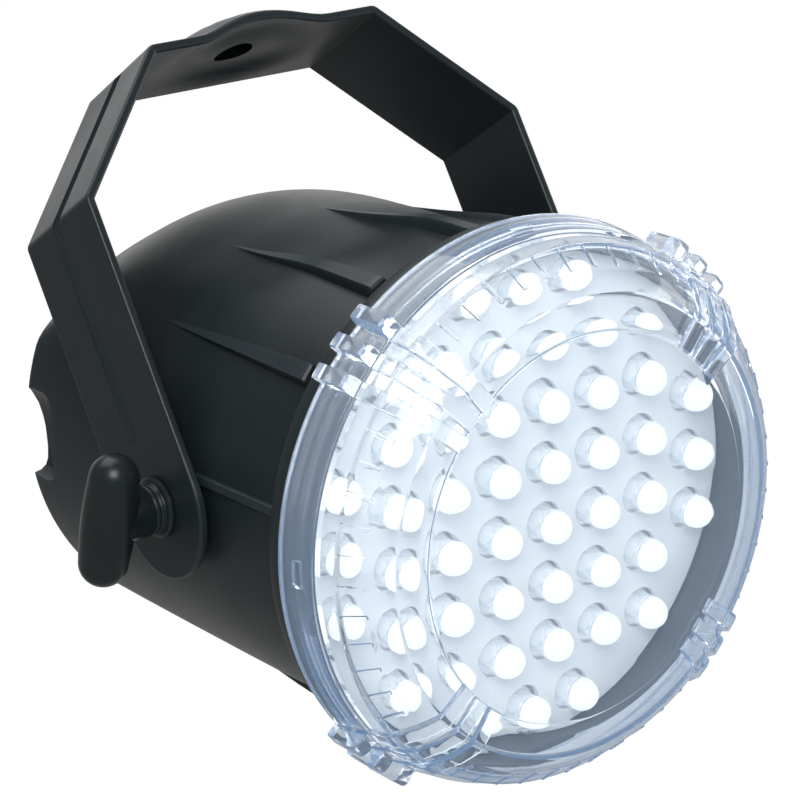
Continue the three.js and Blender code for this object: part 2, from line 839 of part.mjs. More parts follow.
// Rear panel
const panelRadius = barrelRadius(panelFront) - wall - panelClearance;
const ventSlots = [];
[-1, 1].forEach((side) => {
  for (let i = 0; i < ventRows; i += 1) {
    const z = ventCentre + (i - (ventRows - 1) / 2) * ventPitch;
    const x = side * (ventReach + ventLength / 2);
    const slot = rounded(ventLength, ventWidth, ventWidth / 2 - running / 2, 1).map(([a, b]) => [a + x, b + z]);
    ventSlots.push(pushed(slot, panelFront - overrun, panelBack + overrun));
  }
});
const driverBack = panelFront - pillarLength - seat;
const driverFront = driverBack - driverThickness;
const pillarPlaces = [[-1, -1], [1, -1], [1, 1], [-1, 1]].map(([sx, sz]) => [
  sx * (driverWidth / 2 - pillarInset),
  driverCentre + sz * (driverHeight / 2 - pillarInset),
]);
const driverScrewPlaces = pillarPlaces.filter(([x, z]) => (x > 0) !== (z > driverCentre));
const pillars = pillarPlaces.map(([x, z]) => rod(
  pillarRadius,
  panelFront - pillarLength,
  panelFront + panelThickness / 2,
  screwSides,
  [x, 0, z],
));
const pillarHoles = driverScrewPlaces.map(([x, z]) => rod(
  driverScrewRadius + running,
  driverBack - overrun,
  driverFront - seat + driverScrewLength + seat * 2,
  screwSides,
  [x, 0, z],
));
const panelScrewHoles = rearScrewAngles.map((angle) => {
  const [x, z] = polar(rearScrewCircle, angle * degree);
  return rod(rearScrewRadius + running, panelFront - overrun, panelBack + overrun, screwSides, [x, 0, z]);
});
const bushHole = rod(bushRadius + seat, panelFront - overrun, panelBack + overrun, pivotSides, [0, 0, rateHeight]);
const glandHole = rod(
  glandBarrelRadius + seat,
  panelFront - overrun,
  panelBack + overrun,
  pivotSides,
  [0, 0, glandDrop],
);
const rearPanel = rod(panelRadius, panelFront, panelBack, roundSides, [0, 0, 0])
  .subtract(planing(wall + panelClearance))
  .subtract(pockets(wall + panelClearance, rearEnd + overrun))
  .add(joined(pillars))
  .subtract(joined([...ventSlots, ...pillarHoles, ...panelScrewHoles, bushHole, glandHole]));

const rearScrews = rearScrewAngles.map((angle) => {
  const [x, z] = polar(rearScrewCircle, angle * degree);
  const under = panelBack + seat;
  return turned([
    [0, under - rearScrewLength],
    [rearScrewRadius, under - rearScrewLength],
    [rearScrewRadius, under],
    [rearScrewHeadRadius, under],
    [rearScrewHeadRadius, under + rearScrewHeadHeight / 2],
    [rearScrewHeadRadius - running * 2, under + rearScrewHeadHeight],
    [0, under + rearScrewHeadHeight],
  ], screwSides, [x, 0, z]);
});

// Driver board with its fixed components
const driverHoles = pillarPlaces.map(([x, z]) => rod(
  driverScrewRadius + running,
  driverFront - overrun,
  driverBack + overrun,
  screwSides,
  [x, 0, z],
));
const capacitors = [-1, 1].map((up) => rod(
  capacitorRadius,
  driverFront - capacitorLength,
  driverFront + driverThickness / 2,
  pivotSides,
  [capacitorPlace, 0, driverCentre + up * capacitorSpread],
));
const cooler = pushed(
  rectangle(coolerHeight, coolerWidth, driverWidth / 2 - coolerInset, driverCentre),
  driverFront - coolerLength,
  driverFront + driverThickness / 2,
);
const driverBoard = joined([
  pushed(rectangle(driverWidth, driverHeight, 0, driverCentre), driverFront, driverBack)
    .subtract(joined(driverHoles)),
  ...capacitors,
  cooler,
]);
const driverScrews = driverScrewPlaces.map(([x, z]) => turned([
  [0, driverFront - seat - driverScrewHeadHeight],
  [driverScrewHeadRadius, driverFront - seat - driverScrewHeadHeight],
  [driverScrewHeadRadius, driverFront - seat],
  [driverScrewRadius, driverFront - seat],
  [driverScrewRadius, driverFront - seat + driverScrewLength],
  [0, driverFront - seat + driverScrewLength],
], screwSides, [x, 0, z]));

// Transformer: a laminated frame with two windows and the coil round its middle leg
const coilDepth = coreDepth + 2 * seat + 2 * coilWall;
const coilWidth = legWidth + 2 * seat + 2 * coilWall;
const transformerMiddle = driverFront - seat - coilDepth / 2;
const windowWidth = (coreWidth - legWidth - 2 * yokeBar) / 2;
const windowHeight = coreHeight - 2 * yokeBar;
const coreFront = transformerMiddle - coreDepth / 2;
const coreBack = transformerMiddle + coreDepth / 2;
const windows = [-1, 1].map((side) => pushed(
  rectangle(windowWidth, windowHeight, transformerPlace + (side * (legWidth + windowWidth)) / 2, driverCentre),
  coreFront - overrun,
  coreBack + overrun,
));
const transformerCore = pushed(
  rectangle(coreWidth, coreHeight, transformerPlace, driverCentre),
  coreFront,
  coreBack,
).subtract(joined(windows));
const coilOutline = rounded(coilWidth - 2 * seat, coilDepth, coilCorner, 3)
  .map(([x, y]) => [x + transformerPlace, y + transformerMiddle]);
const coilHole = new THREE.Path(
  rectangle(legWidth + 2 * seat, coreDepth + 2 * seat, transformerPlace, transformerMiddle)
    .map(([x, y]) => new THREE.Vector2(x, y)),
);
const transformerCoil = pushed(
  coilOutline,
  driverCentre - windowHeight / 2 + seat,
  driverCentre + windowHeight / 2 - seat,
  alongX,
  alongY,
  alongZ,
  [coilHole],
);

// Rate control on the rear panel
const atRate = [0, 0, rateHeight];
const potBack = panelFront - seat;
const potBody = turned([
  [0, potBack - potDepth],
  [potRadius, potBack - potDepth],
  [potRadius, potBack],
  [bushRadius, potBack],
  [bushRadius, panelBack + bushReach],
  [shaftRadius + running, panelBack + bushReach],
  [shaftRadius + running, potBack - potDepth / 2],
  [0, potBack - potDepth / 2],
], pivotSides, atRate);

function hexagon(flat) {
  return disc(flat / Math.cos(Math.PI / 6), 6);
}

function hexNut(flat, inner, start, end, x, z) {
  const outline = hexagon(flat).map((p) => [p.x + x, p.y + z]);
  const bore = new THREE.Path(disc(inner, pivotSides, x, z));
  return pushed(outline, start, end, alongX, alongZ, alongY, [bore]);
}

const potNut = hexNut(
  potNutFlat,
  bushRadius + running,
  panelBack + seat,
  panelBack + seat + potNutHeight,
  0,
  rateHeight,
);
const knobFoot = panelBack + knobLift;
const knobTop = knobFoot + knobHeight;
const shaftEnd = knobTop - knobTopThickness;
const potShaft = rod(shaftRadius, potBack - potDepth / 2 + seat, shaftEnd, pivotSides, atRate);
const knobBody = turned([
  [knobHollowRadius, knobFoot],
  [knobSkirtRadius, knobFoot],
  [knobSkirtRadius, knobFoot + knobSkirtHeight / 2],
  [knobRadius, knobFoot + knobSkirtHeight],
  [knobRadius - knobTopTaper / 2, knobTop - knobTopTaper],
  [knobRadius - knobTopTaper, knobTop],
  [0, knobTop],
  [0, shaftEnd + seat],
  [shaftRadius + running, shaftEnd + seat],
  [shaftRadius + running, knobFoot + knobHollowDepth],
  [knobHollowRadius, knobFoot + knobHollowDepth],
], knobSides, atRate, alongY, true);
const flutes = [];
for (let i = 0; i < fluteCount; i += 1) {
  const [x, z] = polar(knobRadius + fluteRadius / 3, ((i + 0.5) / fluteCount) * 2 * Math.PI);
  flutes.push(rod(fluteRadius, knobFoot + knobSkirtHeight, knobTop + overrun, 6, [x, 0, z + rateHeight]));
}
const pointer = pushed(
  rectangle(pointerWidth, knobRadius - knobTopTaper * 2, 0, rateHeight + knobRadius / 2),
  knobTop - pointerRise,
  knobTop + pointerRise,
);
const rateKnob = knobBody.subtract(joined(flutes)).add(pointer);

// Cable gland: body, cap and the nut behind the panel
const atGland = [0, 0, glandDrop];
const glandFace = panelBack + seat;
const glandHex = pushed(
  hexagon(glandFlat).map((p) => [p.x, p.y + glandDrop]),
  glandFace,
  glandFace + glandFlangeHeight,
);
const glandBody = joined([
  glandHex,
  rod(glandBarrelRadius, glandFace - glandBarrelLength, glandFace + glandFlangeHeight / 2, glandSides, atGland),
  rod(
    glandCollarRadius,
    glandFace + glandFlangeHeight / 2,
    glandFace + glandFlangeHeight + glandCollarHeight,
    glandSides,
    atGland,
  ),
]).subtract(rod(
  glandBore,
  glandFace - glandBarrelLength - overrun,
  glandFace + glandFlangeHeight + glandCollarHeight + overrun,
  glandSides,
  atGland,
));
const glandCapFoot = glandFace + glandFlangeHeight + seat;
const glandCapTop = glandCapFoot + glandCapHeight;
const glandCap = turned([
  [glandCollarRadius + running, glandCapFoot],
  [glandCapRadius, glandCapFoot],
  [glandCapRadius, glandCapFoot + glandCapHeight / 2],
  [glandCapTopRadius, glandCapTop],
  [glandBore, glandCapTop],
  [glandBore, glandCapTop - glandCapRoof],
  [glandCollarRadius + running, glandCapTop - glandCapRoof * 2],
], glandSides, atGland, alongY, true);
const glandNut = hexNut(
  glandFlat,
  glandBarrelRadius + running,
  panelFront - seat - glandNutHeight,
  panelFront - seat,
  0,
  glandDrop,
);

// Pivot fittings, one set a side
const knobFace = armOuter + seat;

function washer(side) {
  const [from, axis] = atPivot(side);
  return tube(studRadius + running, washerRadius, padFace + seat, washerOuter, pivotSides, from, axis);
}

function insert(side) {
  const [from, axis] = atPivot(side);
  const end = padFace - seat;
  return tube(studRadius + running, insertRadius, end - insertLength, end, pivotSides, from, axis);
}

function stud(side) {
  const [from, axis] = atPivot(side);
  return rod(studRadius, padFace - insertLength, knobFace + studGrip, screwSides, from, axis);
}

function tKnob(side, turn) {
  const [from, axis] = atPivot(side);
  const neckEnd = knobReach - barRadius / 2;
  const neckStart = knobFace + neckFlange;
  const grooveStep = (neckEnd - barRadius / 2 - neckStart) / (neckGrooves * 2);
  const grooves = [];
  for (let i = 0; i < neckGrooves * 2; i += 1) {
    const radius = i % 2 ? neckRadius - neckGroove : neckRadius;
    grooves.push([radius, neckStart + i * grooveStep], [radius, neckStart + (i + 0.7) * grooveStep]);
  }
  const neck = turned([
    [0, knobFace],
    [neckFlangeRadius, knobFace],
    [neckFlangeRadius, neckStart],
    ...grooves,
    [neckRadius, neckEnd],
    [0, neckEnd],
  ], barSides, from, axis);
  const half = barSpan / 2;
  const barProfile = [[0, -half]];
  for (let i = 1; i < 4; i += 1) {
    const [y, r] = polar(barEndRadius, Math.PI - (i / 4) * (Math.PI / 2));
    barProfile.push([r, -half + barEndRadius + y]);
  }
  barProfile.push([barEndRadius, -half + barEndRadius], [barRadius, 0], [barEndRadius, half - barEndRadius]);
  for (let i = 3; i > 0; i -= 1) {
    const [y, r] = polar(barEndRadius, (i / 4) * (Math.PI / 2));
    barProfile.push([r, half - barEndRadius + y]);
  }
  barProfile.push([0, half]);
  const along = new THREE.Vector3(0, -Math.sin(turn), Math.cos(turn));
  const bar = turned(barProfile, barSides, [side * knobReach, pivotBack, 0], along);
  return neck.add(bar).subtract(rod(
    studRadius + running,
    knobFace - overrun,
    knobFace + studGrip + seat,
    screwSides,
    from,
    axis,
  ));
}

// Yoke, drawn upright about its pivot: X across, Z up the arms
const outerFold = [
  [armOuter, -strapWidth],
  [armOuter, shoulderHeight],
  [crownHalfWidth, crownHeight],
];

function offsetFold(fold, by) {
  const slant = new THREE.Vector2(fold[2][0] - fold[1][0], fold[2][1] - fold[1][1]).normalize();
  const out = [slant.y, -slant.x];
  const through = [fold[1][0] + out[0] * by, fold[1][1] + out[1] * by];
  const x = fold[1][0] + by;
  const top = fold[2][1] + by;
  return [
    [x, fold[0][1]],
    [x, through[1] + ((x - through[0]) * slant.y) / slant.x],
    [through[0] + ((top - through[1]) * slant.x) / slant.y, top],
  ];
}

const innerFold = offsetFold(outerFold, -strapThickness);
const mirrored = (fold) => fold.map(([x, z]) => [-x, z]).reverse();
const strapOutline = [...outerFold, ...mirrored(outerFold), ...innerFold.map(([x, z]) => [-x, z]), ...mirrored(
  innerFold.map(([x, z]) => [-x, z]),
)];
const strap = pushed(strapOutline, -strapWidth / 2, strapWidth / 2);
const sideOutline = [];
for (let i = 0; i <= endSteps; i += 1) {
  sideOutline.push(polar(strapWidth / 2, Math.PI + (i / endSteps) * Math.PI));
}
const sideTop = crownHeight + bossHeight + overrun;
sideOutline.push([strapWidth / 2, sideTop], [-strapWidth / 2, sideTop]);
const sideReach = armOuter + yokeRibCrown + overrun;
const sideForm = pushed(sideOutline, -sideReach, sideReach, alongY, alongZ, alongX);

function yokeRib(side) {
  const low = offsetFold(outerFold, yokeRibShoulder);
  const high = offsetFold(outerFold, yokeRibCrown);
  const buried = offsetFold(outerFold, -strapThickness / 2);
  const alongSlant = ([, from, to]) => from.map((value, i) => value + (to[i] - value) * yokeRibPeakShare);
  const stations = [
    [[buried[1][0], yokeRibStart], [armOuter, yokeRibStart]],
    [buried[1], low[1]],
    [alongSlant(buried), alongSlant(high)],
    [[crownHalfWidth, crownHeight - strapThickness / 2], [crownHalfWidth + yokeRibShoulder, crownHeight]],
  ];
  return lofted(stations.map(([foot, crest]) => [
    [side * foot[0], -yokeRibFootWidth / 2, foot[1]],
    [side * foot[0], yokeRibFootWidth / 2, foot[1]],
    [side * crest[0], yokeRibCrestWidth / 2, crest[1]],
    [side * crest[0], -yokeRibCrestWidth / 2, crest[1]],
  ]));
}

const bossTop = crownHeight + bossHeight;
const crownUnder = crownHeight - strapThickness;
const boss = turned([
  [0, crownUnder + sink],
  [bossFootRadius, crownUnder + sink],
  [bossFootRadius, crownHeight],
  [bossRadius, bossTop],
  [0, bossTop],
], bossSides, [0, 0, 0], alongZ);
const recess = turned([
  [0, crownUnder - overrun],
  [recessFootRadius, crownUnder - overrun],
  [recessFootRadius, crownUnder],
  [recessRadius, bossTop - recessRoof],
  [0, bossTop - recessRoof],
], bossSides, [0, 0, 0], alongZ);
const yokeSolid = joined([
  strap,
  yokeRib(-1),
  yokeRib(1),
  boss,
]).intersect(sideForm).subtract(joined([
  recess,
  rod(boltHoleRadius, bossTop - recessRoof - overrun, bossTop + overrun, pivotSides, [0, 0, 0], alongZ),
  rod(studRadius + running * 2, -armOuter - overrun, armOuter + overrun, pivotSides, [0, 0, 0], alongX),
]));

// Assembly
const lamp = new THREE.Group();
const yokeGroup = new THREE.Group();
yokeGroup.position.set(0, pivotBack, 0);
yokeGroup.rotation.x = -yokeLean;
yokeGroup.add(piece('yoke', yokeSolid, blackPlastic));
lamp.add(yokeGroup);

lamp.add(
  piece('housing', housing, blackPlastic),
  piece('rear_panel', rearPanel, blackPlastic),
  piece('reflector_plate', reflectorPlate, silverPlate),
  piece('led_board', ledBoard, lampWhite),
  piece('clear_cap', clearCap, clearPlastic),
  piece('driver_board', driverBoard, boardGreen),
  piece('transformer_core', transformerCore, lamination),
  piece('transformer_coil', transformerCoil, winding),
  piece('potentiometer', potBody, plated),
  piece('pot_nut', potNut, plated),
  piece('pot_shaft', potShaft, plated),
  piece('rate_knob', rateKnob, knobPlastic),
  piece('gland_body', glandBody, nylon),
  piece('gland_cap', glandCap, nylon),
  piece('gland_nut', glandNut, nylon),
);
plateScrews.forEach((body, i) => lamp.add(piece(`plate_screw_${i + 1}`, body, plated)));
spacers.forEach((body, i) => lamp.add(piece(`spacer_${i + 1}`, body, nylon)));
rearScrews.forEach((body, i) => lamp.add(piece(`rear_screw_${i + 1}`, body, plated)));
driverScrews.forEach((body, i) => lamp.add(piece(`driver_screw_${i + 1}`, body, plated)));
sides.forEach(([name, side]) => {
  const turn = (side < 0 ? leftBarTurn : rightBarTurn) * degree;
  lamp.add(
    piece(`${name}_washer`, washer(side), rubber),
    piece(`${name}_insert`, insert(side), brass),
    piece(`${name}_stud`, stud(side), plated),
    piece(`${name}_knob`, tKnob(side, turn), knobPlastic),
  );
});

// The hanging-bolt hole's centre, on the outer face of the yoke's boss, is the origin
lamp.position.set(0, -pivotBack - bossTop * Math.sin(yokeLean), -bossTop * Math.cos(yokeLean));

const strobeLight = new THREE.Group();
strobeLight.add(lamp);

export default strobeLight;
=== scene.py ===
import json
import math

import bpy
import numpy as np
from bpy.props import FloatProperty, FloatVectorProperty, IntProperty, PointerProperty
from mathutils import Matrix, Vector


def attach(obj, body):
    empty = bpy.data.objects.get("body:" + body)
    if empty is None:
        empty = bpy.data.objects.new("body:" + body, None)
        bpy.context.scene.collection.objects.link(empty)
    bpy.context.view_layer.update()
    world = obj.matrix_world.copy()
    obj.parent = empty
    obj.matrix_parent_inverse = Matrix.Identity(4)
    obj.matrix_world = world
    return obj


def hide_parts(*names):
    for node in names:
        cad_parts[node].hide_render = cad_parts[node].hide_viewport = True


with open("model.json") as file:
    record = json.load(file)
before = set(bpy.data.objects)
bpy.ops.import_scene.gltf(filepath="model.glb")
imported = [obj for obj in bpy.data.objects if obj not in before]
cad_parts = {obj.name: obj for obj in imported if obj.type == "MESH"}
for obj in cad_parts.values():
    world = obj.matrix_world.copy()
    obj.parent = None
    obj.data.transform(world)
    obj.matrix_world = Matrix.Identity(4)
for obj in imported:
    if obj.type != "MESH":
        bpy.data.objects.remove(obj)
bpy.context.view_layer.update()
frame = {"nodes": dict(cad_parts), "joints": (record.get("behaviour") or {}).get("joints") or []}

bl_info = {
    "name": "Strobe light builder",
    "version": (1, 0, 0),
    "blender": (4, 5, 0),
    "location": "3D View > Sidebar > Strobe light",
    "description": "Builds a round strobe light with a clear twist cap and a folded strap yoke",
    "category": "Add Mesh",
}

MM = 0.001

# The two places that everything is drawn about: the centre of the lamp grid and the pivots' axis
JOINT_PLACES = {joint["name"]: Vector(joint["pos_m"]) for joint in frame["joints"]}
HEAD = JOINT_PLACES["cap_twist"]
PIVOT = JOINT_PLACES["head_tilt"]

# Lines of the moulded forms: distance back along the lamp axis from the grid's centre, and radius
BARREL_LINE = [(11.6, 60.1), (30.0, 60.6), (46.0, 61.0), (86.0, 60.9), (112.0, 60.7), (126.0, 60.5)]
CREST_LINE = [(12.0, 63.0), (23.0, 61.4), (46.0, 58.8), (60.0, 57.5), (80.0, 56.6), (100.0, 55.7),
              (113.0, 52.7), (126.0, 46.6)]

# Lengths in millimetres and angles in degrees, but for the yoke's lean
CREST_ARC = 79.3
REAR_END = 126.0
ROUND_RADIUS = 62.0
SPIGOT_FRONT = -4.6
SPIGOT_BORE = 62.9
BARREL_FRONT = 11.6
PANEL_FRONT = 120.0
PANEL_BACK = 122.4
RIB_ANGLES = (0, 27.3, -27.3, 51.5, -51.5, 152.7, -152.7, 180)
RIB_FRONT = 16.0
RIB_LENGTH = 60.0
BAR_ANGLE = 81.9
BAR_LENGTH = 32.0
POCKET_FRONT = 114.0
POCKET_CORNER = 5.0
PIVOT_BACK = 57.1
PAD_FACE = 61.46
PLATE_FRONT = 4.0
PLATE_BACK = 5.5
BOARD_FRONT = 7.0
BOARD_BACK = 8.6
SCREW_CIRCLE = 60.0
POST_CIRCLE = 56.6
NOTCH_RADIUS = 1.9
SCREW_ANGLES = (30, 150, 270)
REAR_CIRCLE = 53.1
REAR_ANGLES = (28, 152, 225, 315)
LOCK_ANGLES = (0, 90, 180, 270)
LOCK_TURN = 12.0
SLOT_SPAN = 3.07
LUG_HALF = 2.95
GRIP_STEP = 360 / 56
YOKE_LEAN = math.radians(32.2)
ARM_OUTER = 65.36
SHOULDER_HEIGHT = 72.66
CROWN_HEIGHT = 106.56
CROWN_HALF = 33.86
STRAP_FOLD = 1.5
STUD_HOLE = 3.5
BOSS_HEIGHT = 5.2
BOSS_FOOT = 26.0
BOSS_SQUEEZE = 1.7
INNER_FILL = 0.6
KNOB_REACH = 79.2
KNOB_FACE = 65.61
KNOB_BORE = 3.25
NECK_RADIUS = 6.2
KNOB_TURNS = (("left", -1, 18.0), ("right", 1, -14.0))
PANEL_RADIUS = 60.0
VENT_SIZE = (20, 2.6)
VENT_SIDE = 30
VENT_ROWS = 5
VENT_STEP = 6.5
PANEL_MIDDLE = -4
PILLAR_SIDE = 37
PILLAR_HEIGHT = 23
RATE_HEIGHT = 12.0
GLAND_DROP = -34.0

ALONG_X = Vector((1, 0, 0))
ALONG_Y = Vector((0, 1, 0))
ALONG_Z = Vector((0, 0, 1))


# ---------------------------------------------------------------- mesh making

def head_point(x, y, z):
    """A point in millimetres about the lamp grid's centre, as a place in the frame."""
    return HEAD + Vector((x, y, z)) * MM


def mesh_object(name, points, faces, outward=True):
    """A new mesh object from points in the frame and faces, with its faces turned outwards."""
    mesh = bpy.data.meshes.new(name)
    mesh.from_pydata([tuple(float(v) for v in p) for p in points], [], faces)
    mesh.validate()
    built = bpy.data.objects.new(name, mesh)
    bpy.context.scene.collection.objects.link(built)
    if outward and signed_volume(mesh) < 0:
        mesh.flip_normals()
    return built


def signed_volume(mesh):
    """Six times the volume that a mesh holds, below zero where its faces point inwards."""
    mesh.calc_loop_triangles()
    places = np.array([v.co for v in mesh.vertices], float)
    corners = np.array([t.vertices for t in mesh.loop_triangles], int)
    a, b, c = places[corners[:, 0]], places[corners[:, 1]], places[corners[:, 2]]
    return float(np.einsum("ij,ij->i", a, np.cross(b, c)).sum())


def skinned(rings, torus=False):
    """Points and faces of rings of equally many points, closed at both ends or back on themselves."""
    count = len(rings[0])
    points = [p for ring in rings for p in ring]
    faces = []
    for i in range(len(rings) if torus else len(rings) - 1):
        k = (i + 1) % len(rings)
        for j in range(count):
            n = (j + 1) % count
            faces.append((i * count + j, i * count + n, k * count + n, k * count + j))
    if not torus:
        last = (len(rings) - 1) * count
        faces.append(tuple(reversed(range(count))))
        faces.append(tuple(last + j for j in range(count)))
    return points, faces


def cross_axes(axis):
    """Two directions across an axis, and the axis itself, each of length 1."""
    axis = Vector(axis).normalized()
    first = ALONG_Z if abs(axis.z) < 0.9 else ALONG_X
    second = axis.cross(first).normalized()
    return second.cross(axis).normalized(), second, axis


def turned(profile, segments, centre, axis=ALONG_Y, torus=False, wave=None):
    """Points and faces of a profile of (radius, distance) in millimetres, turned about an axis."""
    first, second, along = cross_axes(axis)
    rings = []
    for radius, distance in profile:
        ring = []
        for j in range(segments):
            angle = 2 * math.pi * j / segments
            out = wave(radius, distance, angle) if wave else radius
            ring.append(centre + (along * distance + first * out * math.cos(angle)
                                  + second * out * math.sin(angle)) * MM)
        rings.append(ring)
    return skinned(rings, torus)


def rod(radius, start, end, segments, centre, axis=ALONG_Y):
    """Points and faces of a straight rod, or of the bore that it would leave."""
    return turned([(radius, start), (radius, end)], segments, centre, axis)


def pushed(outline, start, end, centre, first=ALONG_X, second=ALONG_Z, third=ALONG_Y):
    """Points and faces of an outline in millimetres, pushed along the third direction."""
    rings = [
        [centre + (first * x + second * z + third * depth) * MM for x, z in outline]
        for depth in (start, end)
    ]
    return skinned(rings)


def several(parts):
    """One set of points and faces from several."""
    points, faces = [], []
    for some_points, some_faces in parts:
        offset = len(points)
        points.extend(some_points)
        faces.extend(tuple(offset + i for i in face) for face in some_faces)
    return points, faces


def outward_parts(parts):
    """Several closed forms in one, each with its faces turned outwards."""
    kept = []
    for points, faces in parts:
        centre = sum(points, Vector()) / len(points)
        volume = 0.0
        for face in faces:
            a = points[face[0]] - centre
            for i in range(1, len(face) - 1):
                volume += a.dot((points[face[i]] - centre).cross(points[face[i + 1]] - centre))
        kept.append((points, faces if volume > 0 else [tuple(reversed(face)) for face in faces]))
    return several(kept)


def baked(built):
    """Puts the result of an object's modifiers into its mesh."""
    graph = bpy.context.evaluated_depsgraph_get()
    mesh = bpy.data.meshes.new_from_object(built.evaluated_get(graph))
    old = built.data
    built.modifiers.clear()
    built.data = mesh
    bpy.data.meshes.remove(old)
    return built


def carved(built, parts, operation="DIFFERENCE"):
    """Takes closed forms from an object, or does what another boolean operation does with them."""
    tool = mesh_object("tool", *outward_parts(parts), outward=False)
    modifier = built.modifiers.new("carve", "BOOLEAN")
    modifier.operation = operation
    modifier.solver = "EXACT"
    modifier.object = tool
    baked(built)
    bpy.data.objects.remove(tool)
    return built


def joined(built, parts):
    """Adds closed forms to an object."""
    return carved(built, parts, "UNION")


def eased(built, width, steps=2, angle=40):
    """Rounds the edges that are sharper than an angle."""
    modifier = built.modifiers.new("ease", "BEVEL")
    modifier.width = width * MM
    modifier.segments = steps
    modifier.limit_method = "ANGLE"
    modifier.angle_limit = math.radians(angle)
    modifier.use_clamp_overlap = True
    return baked(built)


def dressed(built, body, slot, material, *nodes, angle=32):
    """Gives a piece its material, smooth shading, CAD body and the nodes it stands for. Its slot argument is
    not used.
    """
    built.data.materials.clear()
    built.data.materials.append(material)
    built.data.shade_smooth()
    built.data.set_sharp_from_angle(angle=math.radians(angle))
    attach(built, body)
    if nodes:
        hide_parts(*nodes)
    return built


def finished_node(name, material):
    """Gives a CAD node that stays in view its material."""
    node = frame["nodes"][name]
    node.data.materials.clear()
    node.data.materials.append(material)
    return node


def curve_through(table, place):
    """A smooth line through (place, value) pairs, read at one place."""
    places = [p for p, _ in table]
    values = [v for _, v in table]
    place = min(max(place, places[0]), places[-1])
    i = max(0, min(len(places) - 2, int(np.searchsorted(places, place)) - 1))
    slopes = []
    for k in (i, i + 1):
        low, high = max(0, k - 1), min(len(places) - 1, k + 1)
        slopes.append((values[high] - values[low]) / (places[high] - places[low]))
    span = places[i + 1] - places[i]
    t = (place - places[i]) / span
    return (
        values[i] * (2 * t**3 - 3 * t**2 + 1)
        + slopes[0] * span * (t**3 - 2 * t**2 + t)
        + values[i + 1] * (3 * t**2 - 2 * t**3)
        + slopes[1] * span * (t**3 - t**2)
    )


def soft_least(a, b, blend):
    """The lesser of two lengths, rounded over where they cross."""
    share = max(0.0, min(1.0, 0.5 + 0.5 * (b - a) / blend))
    return b * (1 - share) + a * share - blend * share * (1 - share)


def stadium(length, width, x, z, steps=8):
    """A slot's outline with round ends."""
    points = []
    for sign in (1, -1):
        for i in range(steps + 1):
            angle = math.pi * (i / steps - 0.5)
            points.append((x + sign * ((length - width) / 2 + width / 2 * math.cos(angle)),
                           z + sign * width / 2 * math.sin(angle)))
    return points


def box_outline(width, height, x=0.0, z=0.0):
    """A rectangle's outline about a place."""
    return [(x - width / 2, z - height / 2), (x + width / 2, z - height / 2),
            (x + width / 2, z + height / 2), (x - width / 2, z + height / 2)]


def round_box(width, height, corner, steps=5, x=0.0, z=0.0):
    """A rectangle's outline with round corners."""
    points = []
    for quarter, (sx, sz) in enumerate(((1, 1), (-1, 1), (-1, -1), (1, -1))):
        for i in range(steps + 1):
            angle = (quarter + i / steps) * math.pi / 2
            points.append((x + sx * (width / 2 - corner) + corner * math.cos(angle),
                           z + sz * (height / 2 - corner) + corner * math.sin(angle)))
    return points


def lamp_places():
    """Places in the lamp grid: six rows of six, and three more on each side."""
    middle = range(6)
    grid = [(i - 2.5, j - 2.5) for i in middle for j in middle]
    for offset in (-1, 0, 1):
        grid += [(offset, 3.5), (offset, -3.5), (3.5, offset), (-3.5, offset)]
    return grid


def on_circle(radius, degrees):
    """A place on a circle about the lamp axis."""
    return radius * math.cos(math.radians(degrees)), radius * math.sin(math.radians(degrees))


def turn_between(a, b):
    """The angle between two directions round the lamp axis, whichever way is shorter."""
    return abs((a - b + math.pi) % (2 * math.pi) - math.pi)


# ---------------------------------------------------------------- materials

def shader_node(tree, kind, values=None, **settings):
    """A new node with its settings and the values of its sockets."""
    made = tree.nodes.new(kind)
    for name, value in settings.items():
        setattr(made, name, value)
    for name, value in (values or {}).items():
        made.inputs[name].default_value = value
    return made


def wired(tree, *table):
    """Links in a node tree, each given as a node, its output, the next node and its input."""
    for source, out, target, into in table:
        tree.links.new(source.outputs[out], target.inputs[into])


def group_tree(name, inputs, outputs):
    """A new shader node group with named float sockets."""
    tree = bpy.data.node_groups.new(name, "ShaderNodeTree")
    for label, value in inputs:
        socket = tree.interface.new_socket(name=label, in_out="INPUT", socket_type="NodeSocketFloat")
        socket.default_value = value
    for label in outputs:
        tree.interface.new_socket(name=label, in_out="OUTPUT", socket_type="NodeSocketFloat")
    return tree, tree.nodes.new("NodeGroupInput"), tree.nodes.new("NodeGroupOutput")


